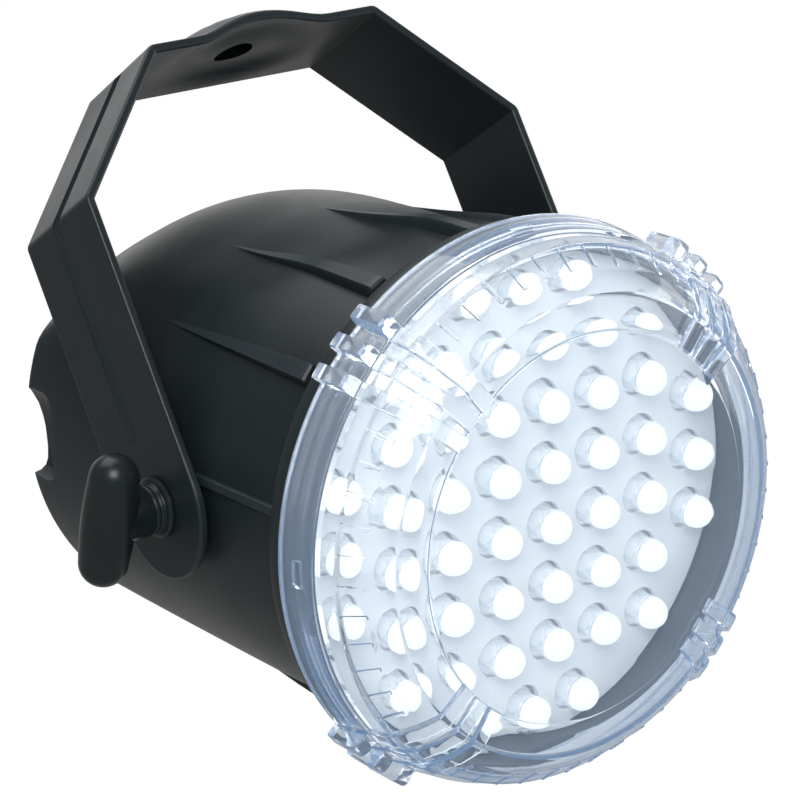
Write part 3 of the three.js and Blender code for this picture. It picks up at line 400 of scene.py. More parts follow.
def moulded_surface_group():
    """Spark-eroded grain, cloudy sheen and rubbed edges of an injection moulding."""
    tree, given, out = group_tree(
        "Moulded surface", [("Grain Scale", 2600.0), ("Cloud Scale", 30.0)], ["Height", "Cloud", "Edge"]
    )
    place = shader_node(tree, "ShaderNodeTexCoord")
    grain = shader_node(tree, "ShaderNodeTexNoise", {"Detail": 3.0, "Roughness": 0.6})
    ripple = shader_node(tree, "ShaderNodeTexNoise", {"Detail": 2.0, "Roughness": 0.5})
    cloud = shader_node(tree, "ShaderNodeTexNoise", {"Detail": 5.0, "Roughness": 0.62, "Distortion": 0.4})
    mixed = shader_node(tree, "ShaderNodeMath", {1: 1.4}, operation="MULTIPLY_ADD")
    wide = shader_node(tree, "ShaderNodeMath", {1: 3.0}, operation="MULTIPLY")
    spread = shader_node(tree, "ShaderNodeMapRange", {"From Min": 0.3, "From Max": 0.7})
    shape = shader_node(tree, "ShaderNodeNewGeometry")
    edge = shader_node(tree, "ShaderNodeMapRange", {"From Min": 0.505, "From Max": 0.56})
    wired(tree, (place, "Object", grain, "Vector"), (place, "Object", ripple, "Vector"),
          (place, "Object", cloud, "Vector"), (given, "Grain Scale", grain, "Scale"),
          (given, "Cloud Scale", cloud, "Scale"), (given, "Cloud Scale", wide, 0),
          (wide, 0, ripple, "Scale"), (ripple, "Fac", mixed, 0), (grain, "Fac", mixed, 2),
          (mixed, 0, out, "Height"), (cloud, "Fac", spread, "Value"), (spread, "Result", out, "Cloud"),
          (shape, "Pointiness", edge, "Value"), (edge, "Result", out, "Edge"))
    return tree


def metal_surface_group():
    """Fine scratches and soft stains of plated or rolled metal."""
    tree, given, out = group_tree(
        "Metal surface", [("Scratch Scale", 900.0), ("Stain Scale", 60.0)], ["Height", "Stain"]
    )
    place = shader_node(tree, "ShaderNodeTexCoord")
    stretch = shader_node(tree, "ShaderNodeMapping", {"Scale": (1.0, 1.0, 0.06)})
    scratch = shader_node(tree, "ShaderNodeTexNoise", {"Detail": 4.0, "Roughness": 0.7})
    stain = shader_node(tree, "ShaderNodeTexNoise", {"Detail": 4.0, "Roughness": 0.55})
    spread = shader_node(tree, "ShaderNodeMapRange", {"From Min": 0.32, "From Max": 0.68})
    wired(tree, (place, "Object", stretch, "Vector"), (stretch, "Vector", scratch, "Vector"),
          (place, "Object", stain, "Vector"), (given, "Scratch Scale", scratch, "Scale"),
          (given, "Stain Scale", stain, "Scale"), (scratch, "Fac", out, "Height"),
          (stain, "Fac", spread, "Value"), (spread, "Result", out, "Stain"))
    return tree


def shared_group(name, make):
    """The node group of that name, made if it isn't there yet."""
    return bpy.data.node_groups.get(name) or make()


def shared_material(name, make, *values):
    """The material of that name, made from the values if it isn't there yet."""
    return bpy.data.materials.get(name) or make(name, *values)


def new_material(name, values=None):
    """A new material with its node tree and its Principled shader, which takes the values of its sockets."""
    material = bpy.data.materials.new(name)
    material.use_nodes = True
    principled = material.node_tree.nodes["Principled BSDF"]
    for label, value in (values or {}).items():
        principled.inputs[label].default_value = value
    return material, material.node_tree, principled


def varied_colour(tree, principled, mask, low, high, socket="Base Color"):
    """A colour socket runs between two colours by a mask."""
    mix = shader_node(tree, "ShaderNodeMix", data_type="RGBA")
    mix.inputs["A"].default_value = (*low, 1)
    mix.inputs["B"].default_value = (*high, 1)
    tree.links.new(mask, mix.inputs["Factor"])
    tree.links.new(mix.outputs["Result"], principled.inputs[socket])
    return mix


def varied_roughness(tree, principled, mask, low, high):
    """Roughness runs between two values by a mask."""
    spread = shader_node(tree, "ShaderNodeMapRange", {"To Min": low, "To Max": high})
    tree.links.new(mask, spread.inputs["Value"])
    tree.links.new(spread.outputs["Result"], principled.inputs["Roughness"])


def bumped(tree, principled, height, strength, distance):
    """A fine relief, with its height in millimetres."""
    bump = shader_node(tree, "ShaderNodeBump", {"Strength": strength, "Distance": distance * MM})
    tree.links.new(height, bump.inputs["Height"])
    tree.links.new(bump.outputs["Normal"], principled.inputs["Normal"])


def shaded(colour, factor):
    """A colour made darker or paler."""
    return tuple(min(1.0, c * factor) for c in colour)


def moulded_plastic(name, colour, gloss, grain, depth, sheen, lift=1.7):
    """Opaque moulded plastic: grain, cloudy sheen and slightly paler rubbed edges."""
    material, tree, principled = new_material(name, {"Specular IOR Level": sheen})
    group = shared_group("Moulded surface", moulded_surface_group)
    surface = shader_node(tree, "ShaderNodeGroup", {"Grain Scale": grain}, node_tree=group)
    dull, bright = shaded(colour, 0.85), shaded(colour, 1.15)
    cloudy = varied_colour(tree, principled, surface.outputs["Cloud"], dull, bright)
    worn = shader_node(tree, "ShaderNodeMix", data_type="RGBA")
    worn.inputs["B"].default_value = (*shaded(colour, lift), 1)
    wired(tree, (surface, "Edge", worn, "Factor"), (cloudy, "Result", worn, "A"),
          (worn, "Result", principled, "Base Color"))
    varied_roughness(tree, principled, surface.outputs["Cloud"], gloss - 0.04, gloss + 0.05)
    bumped(tree, principled, surface.outputs["Height"], 0.35, depth)
    return material


def plain_metal(name, colour, gloss, depth=0.01, metallic=1.0, stain=0.85):
    """Bare, plated or painted metal with fine scratches and soft stains."""
    material, tree, principled = new_material(name, {"Metallic": metallic})
    group = shared_group("Metal surface", metal_surface_group)
    surface = shader_node(tree, "ShaderNodeGroup", node_tree=group)
    varied_colour(tree, principled, surface.outputs["Stain"], shaded(colour, stain), colour)
    varied_roughness(tree, principled, surface.outputs["Stain"], gloss, gloss + 0.1)
    bumped(tree, principled, surface.outputs["Height"], 0.3, depth)
    return material


def clear_plastic(name, colour, gloss, bend, clear, painted_glow, painted_glow_colour):
    """Clear moulded plastic, which lets light through, with a faint painted glow (emission) standing in for
    lamp light scattered inside it.
    """
    material, tree, principled = new_material(name, {
        "Transmission Weight": clear, "IOR": bend, "Emission Color": (*painted_glow_colour, 1), "Emission Strength": painted_glow,
    })
    group = shared_group("Moulded surface", moulded_surface_group)
    scales = {"Grain Scale": 700.0, "Cloud Scale": 45.0}
    surface = shader_node(tree, "ShaderNodeGroup", scales, node_tree=group)
    varied_colour(tree, principled, surface.outputs["Cloud"], shaded(colour, 0.985), colour)
    varied_roughness(tree, principled, surface.outputs["Cloud"], gloss, gloss + 0.03)
    bumped(tree, principled, surface.outputs["Height"], 0.05, 0.03)
    path = shader_node(tree, "ShaderNodeLightPath")
    through = shader_node(tree, "ShaderNodeBsdfTransparent")
    mix = shader_node(tree, "ShaderNodeMixShader")
    wired(tree, (path, "Is Shadow Ray", mix, 0), (principled, "BSDF", mix, 1), (through, "BSDF", mix, 2))
    tree.links.new(mix.outputs["Shader"], tree.nodes["Material Output"].inputs["Surface"])
    return material


def lamp_glow(name, colour, halo, strength):
    """The lit tip of a lamp: white where it faces the eye and bluer towards its edge."""
    material, tree, principled = new_material(name, {
        "Base Color": (0.03, 0.03, 0.03, 1), "Roughness": 0.4, "Emission Strength": strength,
    })
    facing = shader_node(tree, "ShaderNodeLayerWeight", {"Blend": 0.5})
    varied_colour(tree, principled, facing.outputs["Facing"], colour, halo, "Emission Color")
    return material


def banded(name, colour, gap, scale, gloss, metallic, direction="X"):
    """Thin sheets or wires side by side, for the transformer's core and coil."""
    material, tree, principled = new_material(name, {"Metallic": metallic})
    place = shader_node(tree, "ShaderNodeTexCoord")
    bands = shader_node(tree, "ShaderNodeTexWave", {"Scale": scale, "Distortion": 0.2, "Detail": 1.0})
    bands.bands_direction = direction
    tree.links.new(place.outputs["Object"], bands.inputs["Vector"])
    varied_colour(tree, principled, bands.outputs["Fac"], gap, colour)
    varied_roughness(tree, principled, bands.outputs["Fac"], gloss + 0.2, gloss)
    bumped(tree, principled, bands.outputs["Fac"], 0.6, 0.1)
    return material


def black_plastic():
    finish = bpy.context.scene.strobe_finishes
    return shared_material("Satin black plastic", moulded_plastic, tuple(finish.body), finish.body_gloss,
                           2200.0, 0.02, 0.5)


def knob_plastic():
    finish = bpy.context.scene.strobe_finishes
    return shared_material("Knob black plastic", moulded_plastic, tuple(finish.knobs), finish.knob_gloss,
                           1500.0, 0.015, 0.5)


def plated_steel():
    finish = bpy.context.scene.strobe_finishes
    return shared_material("Zinc plated steel", plain_metal, tuple(finish.steel), 0.28)


def nylon():
    return shared_material("Black nylon", moulded_plastic, (0.012, 0.0125, 0.014), 0.5, 1800.0, 0.02, 0.25)


# ---------------------------------------------------------------- user settings

def length_value(label, about, millimetres):
    return FloatProperty(name=label, description=about, default=millimetres * MM, min=0.0,
                         unit="LENGTH", subtype="DISTANCE", precision=4)


def colour_value(label, about, colour):
    return FloatVectorProperty(name=label, description=about, default=colour, size=3, min=0.0, max=1.0,
                               subtype="COLOR")


def share_value(label, about, share):
    return FloatProperty(name=label, description=about, default=share, min=0.0, max=1.0, subtype="FACTOR")


class StrobeSizes(bpy.types.PropertyGroup):
    collar_radius: length_value("Collar radius", "Outside radius of the collar behind the cap", 66.2)
    spigot_radius: length_value("Spigot radius", "Outside radius of the spigot under the cap", 65.3)
    shell_wall: length_value("Shell wall", "Thickness of the lamp body's wall", 2.4)
    rib_height: length_value("Rib height", "Height of the wedge ribs on the barrel", 3.2)
    pocket_half: length_value("Pocket half height", "Half the height of the rear side pockets", 12.0)
    skirt_radius: length_value("Skirt radius", "Outside radius of the cap's skirt at its rear rim", 68.1)
    grip_radius: length_value("Grip radius", "Reach of the grip ribs from the lamp axis", 71.4)
    grip_width: length_value("Grip width", "Width of a grip rib", 4.0)
    strap_width: length_value("Strap width", "Width of the yoke's strap", 35.5)
    strap_thickness: length_value("Strap thickness", "Thickness of the yoke's strap", 2.3)
    boss_radius: length_value("Boss radius", "Radius of the flat top of the hanging boss on the crown", 12.0)
    lamp_pitch: length_value("Lamp pitch", "Distance between lamps in the grid", 15.0)
    lamp_radius: length_value("Lamp radius", "Radius of a lamp's dome", 4.0)
    hole_radius: length_value("Plate hole radius", "Radius of the plate's lamp holes", 5.2)
    bar_radius: length_value("Knob bar radius", "Radius of a T-knob's bar at its middle", 6.6)
    bar_span: length_value("Knob bar length", "Length of a T-knob's bar", 36.0)
    round_steps: IntProperty(name="Round steps", description="Steps round the cap", default=232, min=64,
                             max=512)


class StrobeFinishes(bpy.types.PropertyGroup):
    body: colour_value("Body", "Colour of the lamp body and yoke", (0.012, 0.0185, 0.0215))
    knobs: colour_value("Knobs", "Colour of the knobs", (0.009, 0.014, 0.0155))
    clear: colour_value("Clear cap", "Tint of the clear cap", (0.955, 0.975, 0.985))
    plate: colour_value("Plate", "Colour of the reflector plate", (0.8, 0.83, 0.84))
    lamp: colour_value("Lamp light", "Colour of the lamps' light", (1.0, 0.995, 0.98))
    halo: colour_value("Lamp halo", "Colour of the light at a lamp's edge", (0.82, 0.9, 0.945))
    steel: colour_value("Steel", "Colour of the plated steel", (0.62, 0.63, 0.65))
    body_gloss: share_value("Body roughness", "Roughness of the lamp body and yoke", 0.36)
    knob_gloss: share_value("Knob roughness", "Roughness of the knobs", 0.3)
    lamp_power: FloatProperty(name="Lamp power", description="Brightness of the lamps", default=1.1, min=0.0)


class StrobeStage(bpy.types.PropertyGroup):
    lens: FloatProperty(name="Lens", description="Focal length of the camera in mm", default=135.0, min=10.0)
    key_power: FloatProperty(name="Key light", description="Power of the key light", default=7.0, min=0.0,
                             unit="POWER")
    fill_power: FloatProperty(name="Fill light", description="Power of the fill light", default=3.0, min=0.0,
                              unit="POWER")
    room_light: share_value("Room light", "Strength of the light from all round", 0.54)
    front_light: share_value("Front light", "Strength of what gloss sees in front of the light", 0.13)
    backdrop_start: FloatProperty(name="Backdrop edge", description="Where the white backdrop begins",
                                  default=0.5, min=-1.0, max=1.0)
    floor_drop: length_value("Floor drop", "How far the floor lies below the hanging bolt", 700.0)


# ---------------------------------------------------------------- pieces

class StrobeStep(bpy.types.Operator):
    """One step of building the strobe light"""
    bl_options = {"REGISTER", "UNDO"}

    def execute(self, context):
        self.build(context.scene.strobe_sizes, context.scene.strobe_finishes)
        return {"FINISHED"}


def barrel_reach(y, rise, drop=0.0):
    """Distance of the barrel's surface from the lamp axis, with its top cut back to a wide arc."""
    out = curve_through(BARREL_LINE, y) - drop
    if rise < 0.3:
        return out
    centre = curve_through(CREST_LINE, y) - drop - CREST_ARC
    return soft_least(out, centre * rise + math.sqrt(CREST_ARC**2 - centre**2 * (1 - rise**2)), 1.0)


class STROBE_OT_housing(StrobeStep):
    """Builds the flared lamp body with its collar, spigot, wedge ribs and rear pockets"""
    bl_idname = "strobe.housing"
    bl_label = "Lamp body"

    def columns(self):
        """Angles round the barrel with the weight of a rib or a side bar: (angle, offset, rib, bar)."""
        found = []
        for offset in RIB_ANGLES:
            for across, weight in ((-2.9, 0), (-2.6, 0.3), (-2.25, 0.85), (-1.95, 1), (0, 1),
                                   (1.95, 1), (2.25, 0.85), (2.6, 0.3), (2.9, 0)):
                found.append((math.radians(90 + offset), across, weight, 0))
        for angle in (90 - BAR_ANGLE, 90 + BAR_ANGLE):
            for across, weight in ((-1.4, 0), (-1.2, 0.7), (-0.9, 1), (0.9, 1), (1.2, 0.7), (1.4, 0)):
                found.append((math.radians(angle), across, 0, weight))
        taken = [a % (2 * math.pi) for a, _, _, _ in found]
        steps = 200
        for i in range(steps):
            angle = 2 * math.pi * i / steps
            near = min(turn_between(angle, a) for a in taken)
            if near > math.radians(3.2):
                found.append((angle, 0, 0, 0))
        return sorted(found, key=lambda c: (c[0] + c[1] / ROUND_RADIUS) % (2 * math.pi))

    def build(self, sizes, finishes):
        collar = sizes.collar_radius / MM
        spigot = sizes.spigot_radius / MM
        wall = sizes.shell_wall / MM
        columns = self.columns()
        rib_line = [(0.0, 0.0), (0.35, 0.8), (0.8, 0.97), (1.3, 1.0), (20.0, 0.86), (40.0, 0.5), (55.0, 0.13),
                    (60.0, 0.0)]
        rib_spread = [(0.0, 1.0), (20.0, 0.78), (40.0, 0.5), (60.0, 0.12)]

        def ribbed(y, angle, rib, bar):
            base = barrel_reach(y, math.sin(angle))
            along = y - RIB_FRONT
            height = 0.0
            if rib and 0 < along < RIB_LENGTH:
                height = rib * sizes.rib_height / MM * float(np.interp(along, *zip(*rib_line)))
            if bar and 0 < along < BAR_LENGTH:
                height = bar * 0.9 * min(1.0, along / 0.8, (BAR_LENGTH - along) / 0.8)
            return base + height

        rings = []

        def ring(y, radius=None):
            points = []
            for angle, across, rib, bar in columns:
                spread = 1.0
                if rib or abs(across) == 2.9:
                    spread = float(np.interp(y - RIB_FRONT, *zip(*rib_spread)))
                turn = angle + across * spread / ROUND_RADIUS
                out = radius(y, turn) if callable(radius) else radius
                if out is None:
                    out = ribbed(y, turn, rib, bar)
                points.append(head_point(out * math.cos(turn), y, out * math.sin(turn)))
            rings.append(points)

        ring(SPIGOT_FRONT + 0.3, SPIGOT_BORE)
        ring(SPIGOT_FRONT, SPIGOT_BORE + 0.3)
        ring(SPIGOT_FRONT, spigot - 0.5)
        ring(SPIGOT_FRONT + 0.15, spigot - 0.15)
        ring(SPIGOT_FRONT + 0.5, spigot)
        for y in (-2.0, 0.0, 2.0, 4.3):
            ring(y, spigot)
        ring(4.55, spigot + 0.06)
        ring(4.7, spigot + 0.25)
        ring(4.7, collar - 0.45)
        ring(4.82, collar - 0.13)
        ring(5.1, collar)
        ring(7.5, collar)
        ring(10.0, collar)
        ring(10.35, collar - 0.12)
        ring(10.5, collar - 0.45)
        ring(11.2, 61.6)
        ring(11.45, 60.7)
        ring(11.8, 60.25)
        ring(12.4, 60.14)
        stations = [13.4, 15.0, 15.99, 16.35, 16.8, 17.3, 19.0, 21.5, 24.0, 27.0, 30.0]
        stations += list(np.linspace(34, 47.2, 5)) + [48.0, 50.0, 55.0, 60.0, 65.0, 70.0, 73.0, 76.0]
        stations += list(np.linspace(80, 124.4, 20))
        for y in stations:
            ring(y)

        def rim(inset, drop=0.0):
            return lambda y, turn: barrel_reach(y, math.sin(turn), drop) - inset

        ring(REAR_END - 0.8, rim(0.02))
        ring(REAR_END - 0.3, rim(0.15))
        ring(REAR_END, rim(0.5))
        ring(REAR_END, rim(wall - 0.4))
        ring(REAR_END - 0.3, rim(wall - 0.1))
        for y in list(np.linspace(REAR_END - 1, 24, 22)) + [13.0]:
            ring(y, rim(wall))
        ring(BARREL_FRONT, 57.5)
        ring(9.2, SPIGOT_BORE)
        ring(2.0, SPIGOT_BORE)
        built = mesh_object("lamp_body", *skinned(rings, torus=True))

        bosses, pads, holes, rooms = [], [], [], []
        for side in (-1, 1):
            axis = ALONG_X * side
            pivot = head_point(0, PIVOT_BACK, 0)
            boss = [(9.5, PAD_FACE - 13), (9.5, PAD_FACE - 0.3), (9.2, PAD_FACE)]
            bosses.append(turned(boss, 48, pivot, axis))
            holes.append(rod(5.15, PAD_FACE - 15, PAD_FACE + 1, 40, pivot, axis))
            half = sizes.pocket_half / MM
            floor = [point[0] for point in POCKET_LINE]
            lined = box_outline(REAR_END - 0.02 - POCKET_FRONT + wall, 2 * (half + wall),
                                (REAR_END - 0.02 + POCKET_FRONT - wall) / 2)
            start, end = sorted((side * (min(floor) - wall), side * 58.2))
            pads.append(pushed(lined, start, end, HEAD, ALONG_Y, ALONG_Z, ALONG_X))
            rooms.append(self.pocket(side, half))
        posts = []
        for angle in SCREW_ANGLES:
            x, z = on_circle(POST_CIRCLE, angle)
            posts.append(rod(3.2, BOARD_BACK + 0.25, 14.8, 20, head_point(x, 0, z)))
        joined(built, bosses + pads)
        slots = []
        for angle in LOCK_ANGLES:
            end = angle + LOCK_TURN
            slots.append(self.sector(64.1, 68, angle - SLOT_SPAN, end + SLOT_SPAN, -1.7, 1.7))
            slots.append(self.sector(64.1, 68, end - SLOT_SPAN, end + SLOT_SPAN, -6.6, 0))
        carved(built, holes + rooms)
        carved(built, slots[0::2])
        carved(built, slots[1::2])
        joined(built, posts)
        dressed(built, "head", "black_plastic", black_plastic(), "housing", angle=28)

    def pocket(self, side, half):
        """The room that a rear side pocket leaves: gently curved above, abrupt below, round at its front."""
        rings = []
        steps = 7
        turns = [math.pi / 2 * i / steps for i in range(steps + 1)]
        depths = [POCKET_FRONT + POCKET_CORNER * (1 - math.cos(turn)) for turn in turns]
        for y in depths + [REAR_END + 4]:
            short = max(0.0, POCKET_FRONT + POCKET_CORNER - y)
            share = (half - POCKET_CORNER + math.sqrt(max(0.0, POCKET_CORNER**2 - short**2))) / 12
            rings.append([head_point(side * x, y, z * share) for x, z in POCKET_LINE])
        return skinned(rings)

    def sector(self, inner, outer, start, end, front, back):
        """A sector of a ring about the lamp axis, in degrees and millimetres."""
        steps = 8
        turns = [math.radians(start + (end - start) * i / steps) for i in range(steps + 1)]
        outline = [(outer * math.cos(a), outer * math.sin(a)) for a in turns]
        outline += [(inner * math.cos(a), inner * math.sin(a)) for a in reversed(turns)]
        return pushed(outline, front, back, HEAD)


# A rear pocket's section across the lamp axis: (distance from the axis, height)
POCKET_LINE = [(72.0, 13.2), (59.6, 12.2), (58.2, 10.3), (56.5, 6.9), (55.5, 3.2), (55.0, 0.2), (54.75, -5.2),
               (55.0, -8.4), (55.7, -10.0), (57.2, -11.0), (59.4, -11.4), (72.0, -12.0)]

# The cap's section from the middle of its face to its rim and back inside, in millimetres:
# (radius, distance, radius on a grip, distance on a grip, lift of a tick, lift of a lug)
CAP_ROWS = [
    (0.4, -22.5, 0.4, -22.5, 0, 0),
    (12.0, -22.5, 12.0, -22.5, 0, 0),
    (26.0, -22.5, 26.0, -22.5, 0, 0),
    (38.0, -22.5, 38.0, -22.5, 0, 0),
    (45.8, -22.5, 45.8, -22.5, 0, 0),
    (46.25, -22.42, 46.25, -22.45, 0, 0),
    (46.5, -22.2, 46.5, -22.75, 0, 0),
    (46.6, -21.95, 46.75, -23.02, 0, 0),
    (46.9, -21.82, 47.2, -23.1, 0, 0),
    (50.0, -21.8, 50.0, -23.1, 0, 0),
    (54.4, -21.8, 54.9, -23.1, 0, 0),
    (55.15, -21.74, 55.85, -23.0, 0, 0),
    (55.75, -21.35, 56.5, -22.65, 0, 0),
    (57.5, -19.85, 58.6, -20.9, 0, 0),
    (59.3, -18.3, 60.7, -19.1, 0, 0),
    (59.75, -17.85, 61.05, -18.6, 0, 0),
    (60.05, -17.47, 61.3, -18.2, 0, 0),
    (60.2, -17.28, 61.45, -18.0, 1, 0),
    (62.2, -14.82, 63.5, -15.4, 1, 0),
    (64.2, -12.37, 65.4, -13.0, 1, 0),
    (64.35, -12.18, 65.6, -12.85, 0, 0),
    (64.5, -11.9, 65.75, -12.6, 0, 0),
    (64.6, -11.5, 65.85, -12.2, 0, 0),
    (65.0, -9.0, 66.3, -9.3, 0, 0),
    (65.35, -6.3, 66.62, -6.95, 0, 0),
    (65.42, -6.0, 66.72, -6.65, 0, 0),
    (65.6, -5.9, 67.0, -6.55, 0, 0),
    (66.1, -5.9, 69.9, -6.55, 0, 0),
    (66.38, -5.84, 70.7, -6.3, 0, 0),
    (66.5, -5.6, 71.25, -5.75, 0, 0),
    (66.56, -5.2, 71.4, -5.1, 0, 0),
    (67.3, -0.5, 71.4, -0.5, 0, 0),
    (68.05, 4.0, 71.4, 3.9, 0, 0),
    (68.06, 4.25, 71.3, 4.25, 0, 0),
    (67.9, 4.42, 71.0, 4.45, 0, 0),
    (67.6, 4.45, 70.5, 4.45, 0, 0),
    (66.0, 4.45, 66.0, 4.45, 0, 0),
    (65.7, 4.35, 65.7, 4.35, 0, 0),
    (65.6, 4.1, 65.6, 4.1, 0, 0),
    (65.6, 1.35, 65.6, 1.35, 0, 0),
    (65.6, 1.2, 65.6, 1.2, 0, 1),
    (65.6, -1.2, 65.6, -1.2, 0, 1),
    (65.6, -1.35, 65.6, -1.35, 0, 0),
    (65.6, -4.6, 65.6, -4.6, 0, 0),
    (65.45, -4.85, 65.45, -4.85, 0, 0),
    (65.1, -5.0, 65.1, -5.0, 0, 0),
    (63.8, -5.95, 63.8, -5.95, 0, 0),
    (63.4, -6.3, 63.4, -6.3, 0, 0),
    (62.6, -11.1, 62.6, -11.1, 0, 0),
    (62.35, -11.75, 62.35, -11.75, 0, 0),
    (58.4, -16.4, 58.4, -16.4, 0, 0),
    (54.6, -20.15, 54.6, -20.15, 0, 0),
    (53.8, -20.5, 53.8, -20.5, 0, 0),
    (40.0, -20.5, 40.0, -20.5, 0, 0),
    (20.0, -20.5, 20.0, -20.5, 0, 0),
    (0.4, -20.5, 0.4, -20.5, 0, 0),
]

# How far out the rows above carry the grips and the skirt, which the sizes then move
GRIP_REACH = 71.4
SKIRT_REACH = 68.1

# How far a tick lifts a row, outwards and back, and how far a lug does
TICK_LIFT = (0.22, -0.22)
LUG_LIFT = -1.2


class STROBE_OT_clear_cap(StrobeStep):
    """Builds the clear twist cap with its grips, ticks and locking lugs"""
    bl_idname = "strobe.clear_cap"
    bl_label = "Clear cap"

    def columns(self, half, steps):
        """Angles round the cap with the weights of a grip, a tick and a lug."""
        found = []
        grip = [(half + 0.08, 0), (half - 0.02, 0.8), (half - 0.25, 0.97), (half - 0.6, 1)]
        tick = [(0.62, 0), (0.42, 0.85), (0.2, 1)]
        lug = [(3.1, 0), (LUG_HALF, 1), (1.9, 1)]
        for group in range(4):
            for i in (-1, 0, 1):
                angle = math.radians(45 + 90 * group + i * GRIP_STEP)
                found += [(angle, sign * across, weight, 0, 0) for sign in (-1, 1) for across, weight in grip]
            for i in range(-5, 6):
                angle = math.radians(90 * group + i * GRIP_STEP)
                found += [(angle, sign * across, 0, weight, 0) for sign in (-1, 1) for across, weight in tick]
            angle = math.radians(LOCK_ANGLES[group])
            found += [(angle, sign * across, 0, 0, weight) for sign in (-1, 1) for across, weight in lug]
        marks = sorted({(a + o / ROUND_RADIUS) % (2 * math.pi) for a, o, _, _, _ in found})
        grips = [math.radians(45 + 90 * g + k * GRIP_STEP) for g in range(4) for k in (-1, 0, 1)]
        locks = [math.radians(a) for a in LOCK_ANGLES]
        for i in range(steps):
            angle = 2 * math.pi * i / steps
            near = min(turn_between(angle, a) for a in marks)
            inside = any(turn_between(angle, a) < math.radians(2.2) for a in grips)
            if near > math.radians(0.7) and not inside:
                on_lug = any(turn_between(angle, a) * ROUND_RADIUS < LUG_HALF for a in locks)
                found.append((angle, 0, 0, 0, 1 if on_lug else 0))
        return sorted(found, key=lambda c: (c[0] + c[1] / ROUND_RADIUS) % (2 * math.pi))

    def build(self, sizes, finishes):
        half = sizes.grip_width / MM / 2
        reach = sizes.grip_radius / MM - GRIP_REACH
        flare = sizes.skirt_radius / MM - SKIRT_REACH
        columns = self.columns(half, sizes.round_steps)
        lugs = {round(math.radians(a), 4) for a in LOCK_ANGLES}
        rings = []
        for r, y, grip_r, grip_y, tick, lug in CAP_ROWS:
            points = []
            outer = max(r, 46.5)
            if r > 66 and y > -5.5:
                r += flare
            for angle, across, grip_weight, tick_weight, lug_weight in columns:
                turn = angle + across / max(outer, grip_r)
                out = r + (grip_r + (reach if grip_r > 69 else 0) - r) * grip_weight
                back = y + (grip_y - y) * grip_weight
                out += tick * tick_weight * TICK_LIFT[0]
                back += tick * tick_weight * TICK_LIFT[1]
                weight = lug_weight
                if round(angle, 4) in lugs and abs(across) < 1:
                    weight = 1
                out += lug * weight * LUG_LIFT
                points.append(head_point(out * math.cos(turn), back, out * math.sin(turn)))
            rings.append(points)
        built = mesh_object("clear_cap_moulding", *skinned(rings))
        # The cap's faint bluish emission is a painted glow, standing in for lamp light scattered inside the
        # clear plastic.
        material = clear_plastic("Clear polycarbonate", tuple(finishes.clear), 0.02, 1.5, 0.955, 0.05,
                                 (0.2, 0.5, 1.0))
        dressed(built, "cap", "clear_plastic", material, "clear_cap", angle=24)


def strap_line(thickness, fold):
    """The strap's middle line in the yoke's upright plane, from foot to foot, with rounded folds."""
    mid = ARM_OUTER - thickness / 2
    slope = Vector((CROWN_HALF - ARM_OUTER, CROWN_HEIGHT - SHOULDER_HEIGHT)).normalized()
    inward = Vector((-slope.y, slope.x)) * (thickness / 2)
    shoulder_z = SHOULDER_HEIGHT + inward.y + (mid - ARM_OUTER - inward.x) * slope.y / slope.x
    crown_z = CROWN_HEIGHT - thickness / 2
    crown_x = CROWN_HALF + inward.x + (crown_z - CROWN_HEIGHT - inward.y) * slope.x / slope.y
    corners = [Vector((mid, 0)), Vector((mid, shoulder_z)), Vector((crown_x, crown_z)),
               Vector((-crown_x, crown_z)), Vector((-mid, shoulder_z)), Vector((-mid, 0))]
    line = []
    for i, corner in enumerate(corners):
        if i in (0, len(corners) - 1):
            line.append(corner)
            continue
        before = (corner - corners[i - 1]).normalized()
        after = (corners[i + 1] - corner).normalized()
        bend = before.angle(after)
        back = fold * math.tan(bend / 2)
        start = corner - before * back
        centre = start + Vector((-before.y, before.x)) * fold
        steps = 5
        for k in range(steps + 1):
            turn = bend * k / steps
            spoke = Vector((before.y, -before.x)) * fold
            rotated = Vector((spoke.x * math.cos(turn) - spoke.y * math.sin(turn),
                              spoke.x * math.sin(turn) + spoke.y * math.cos(turn)))
            line.append(centre + rotated)
    return line


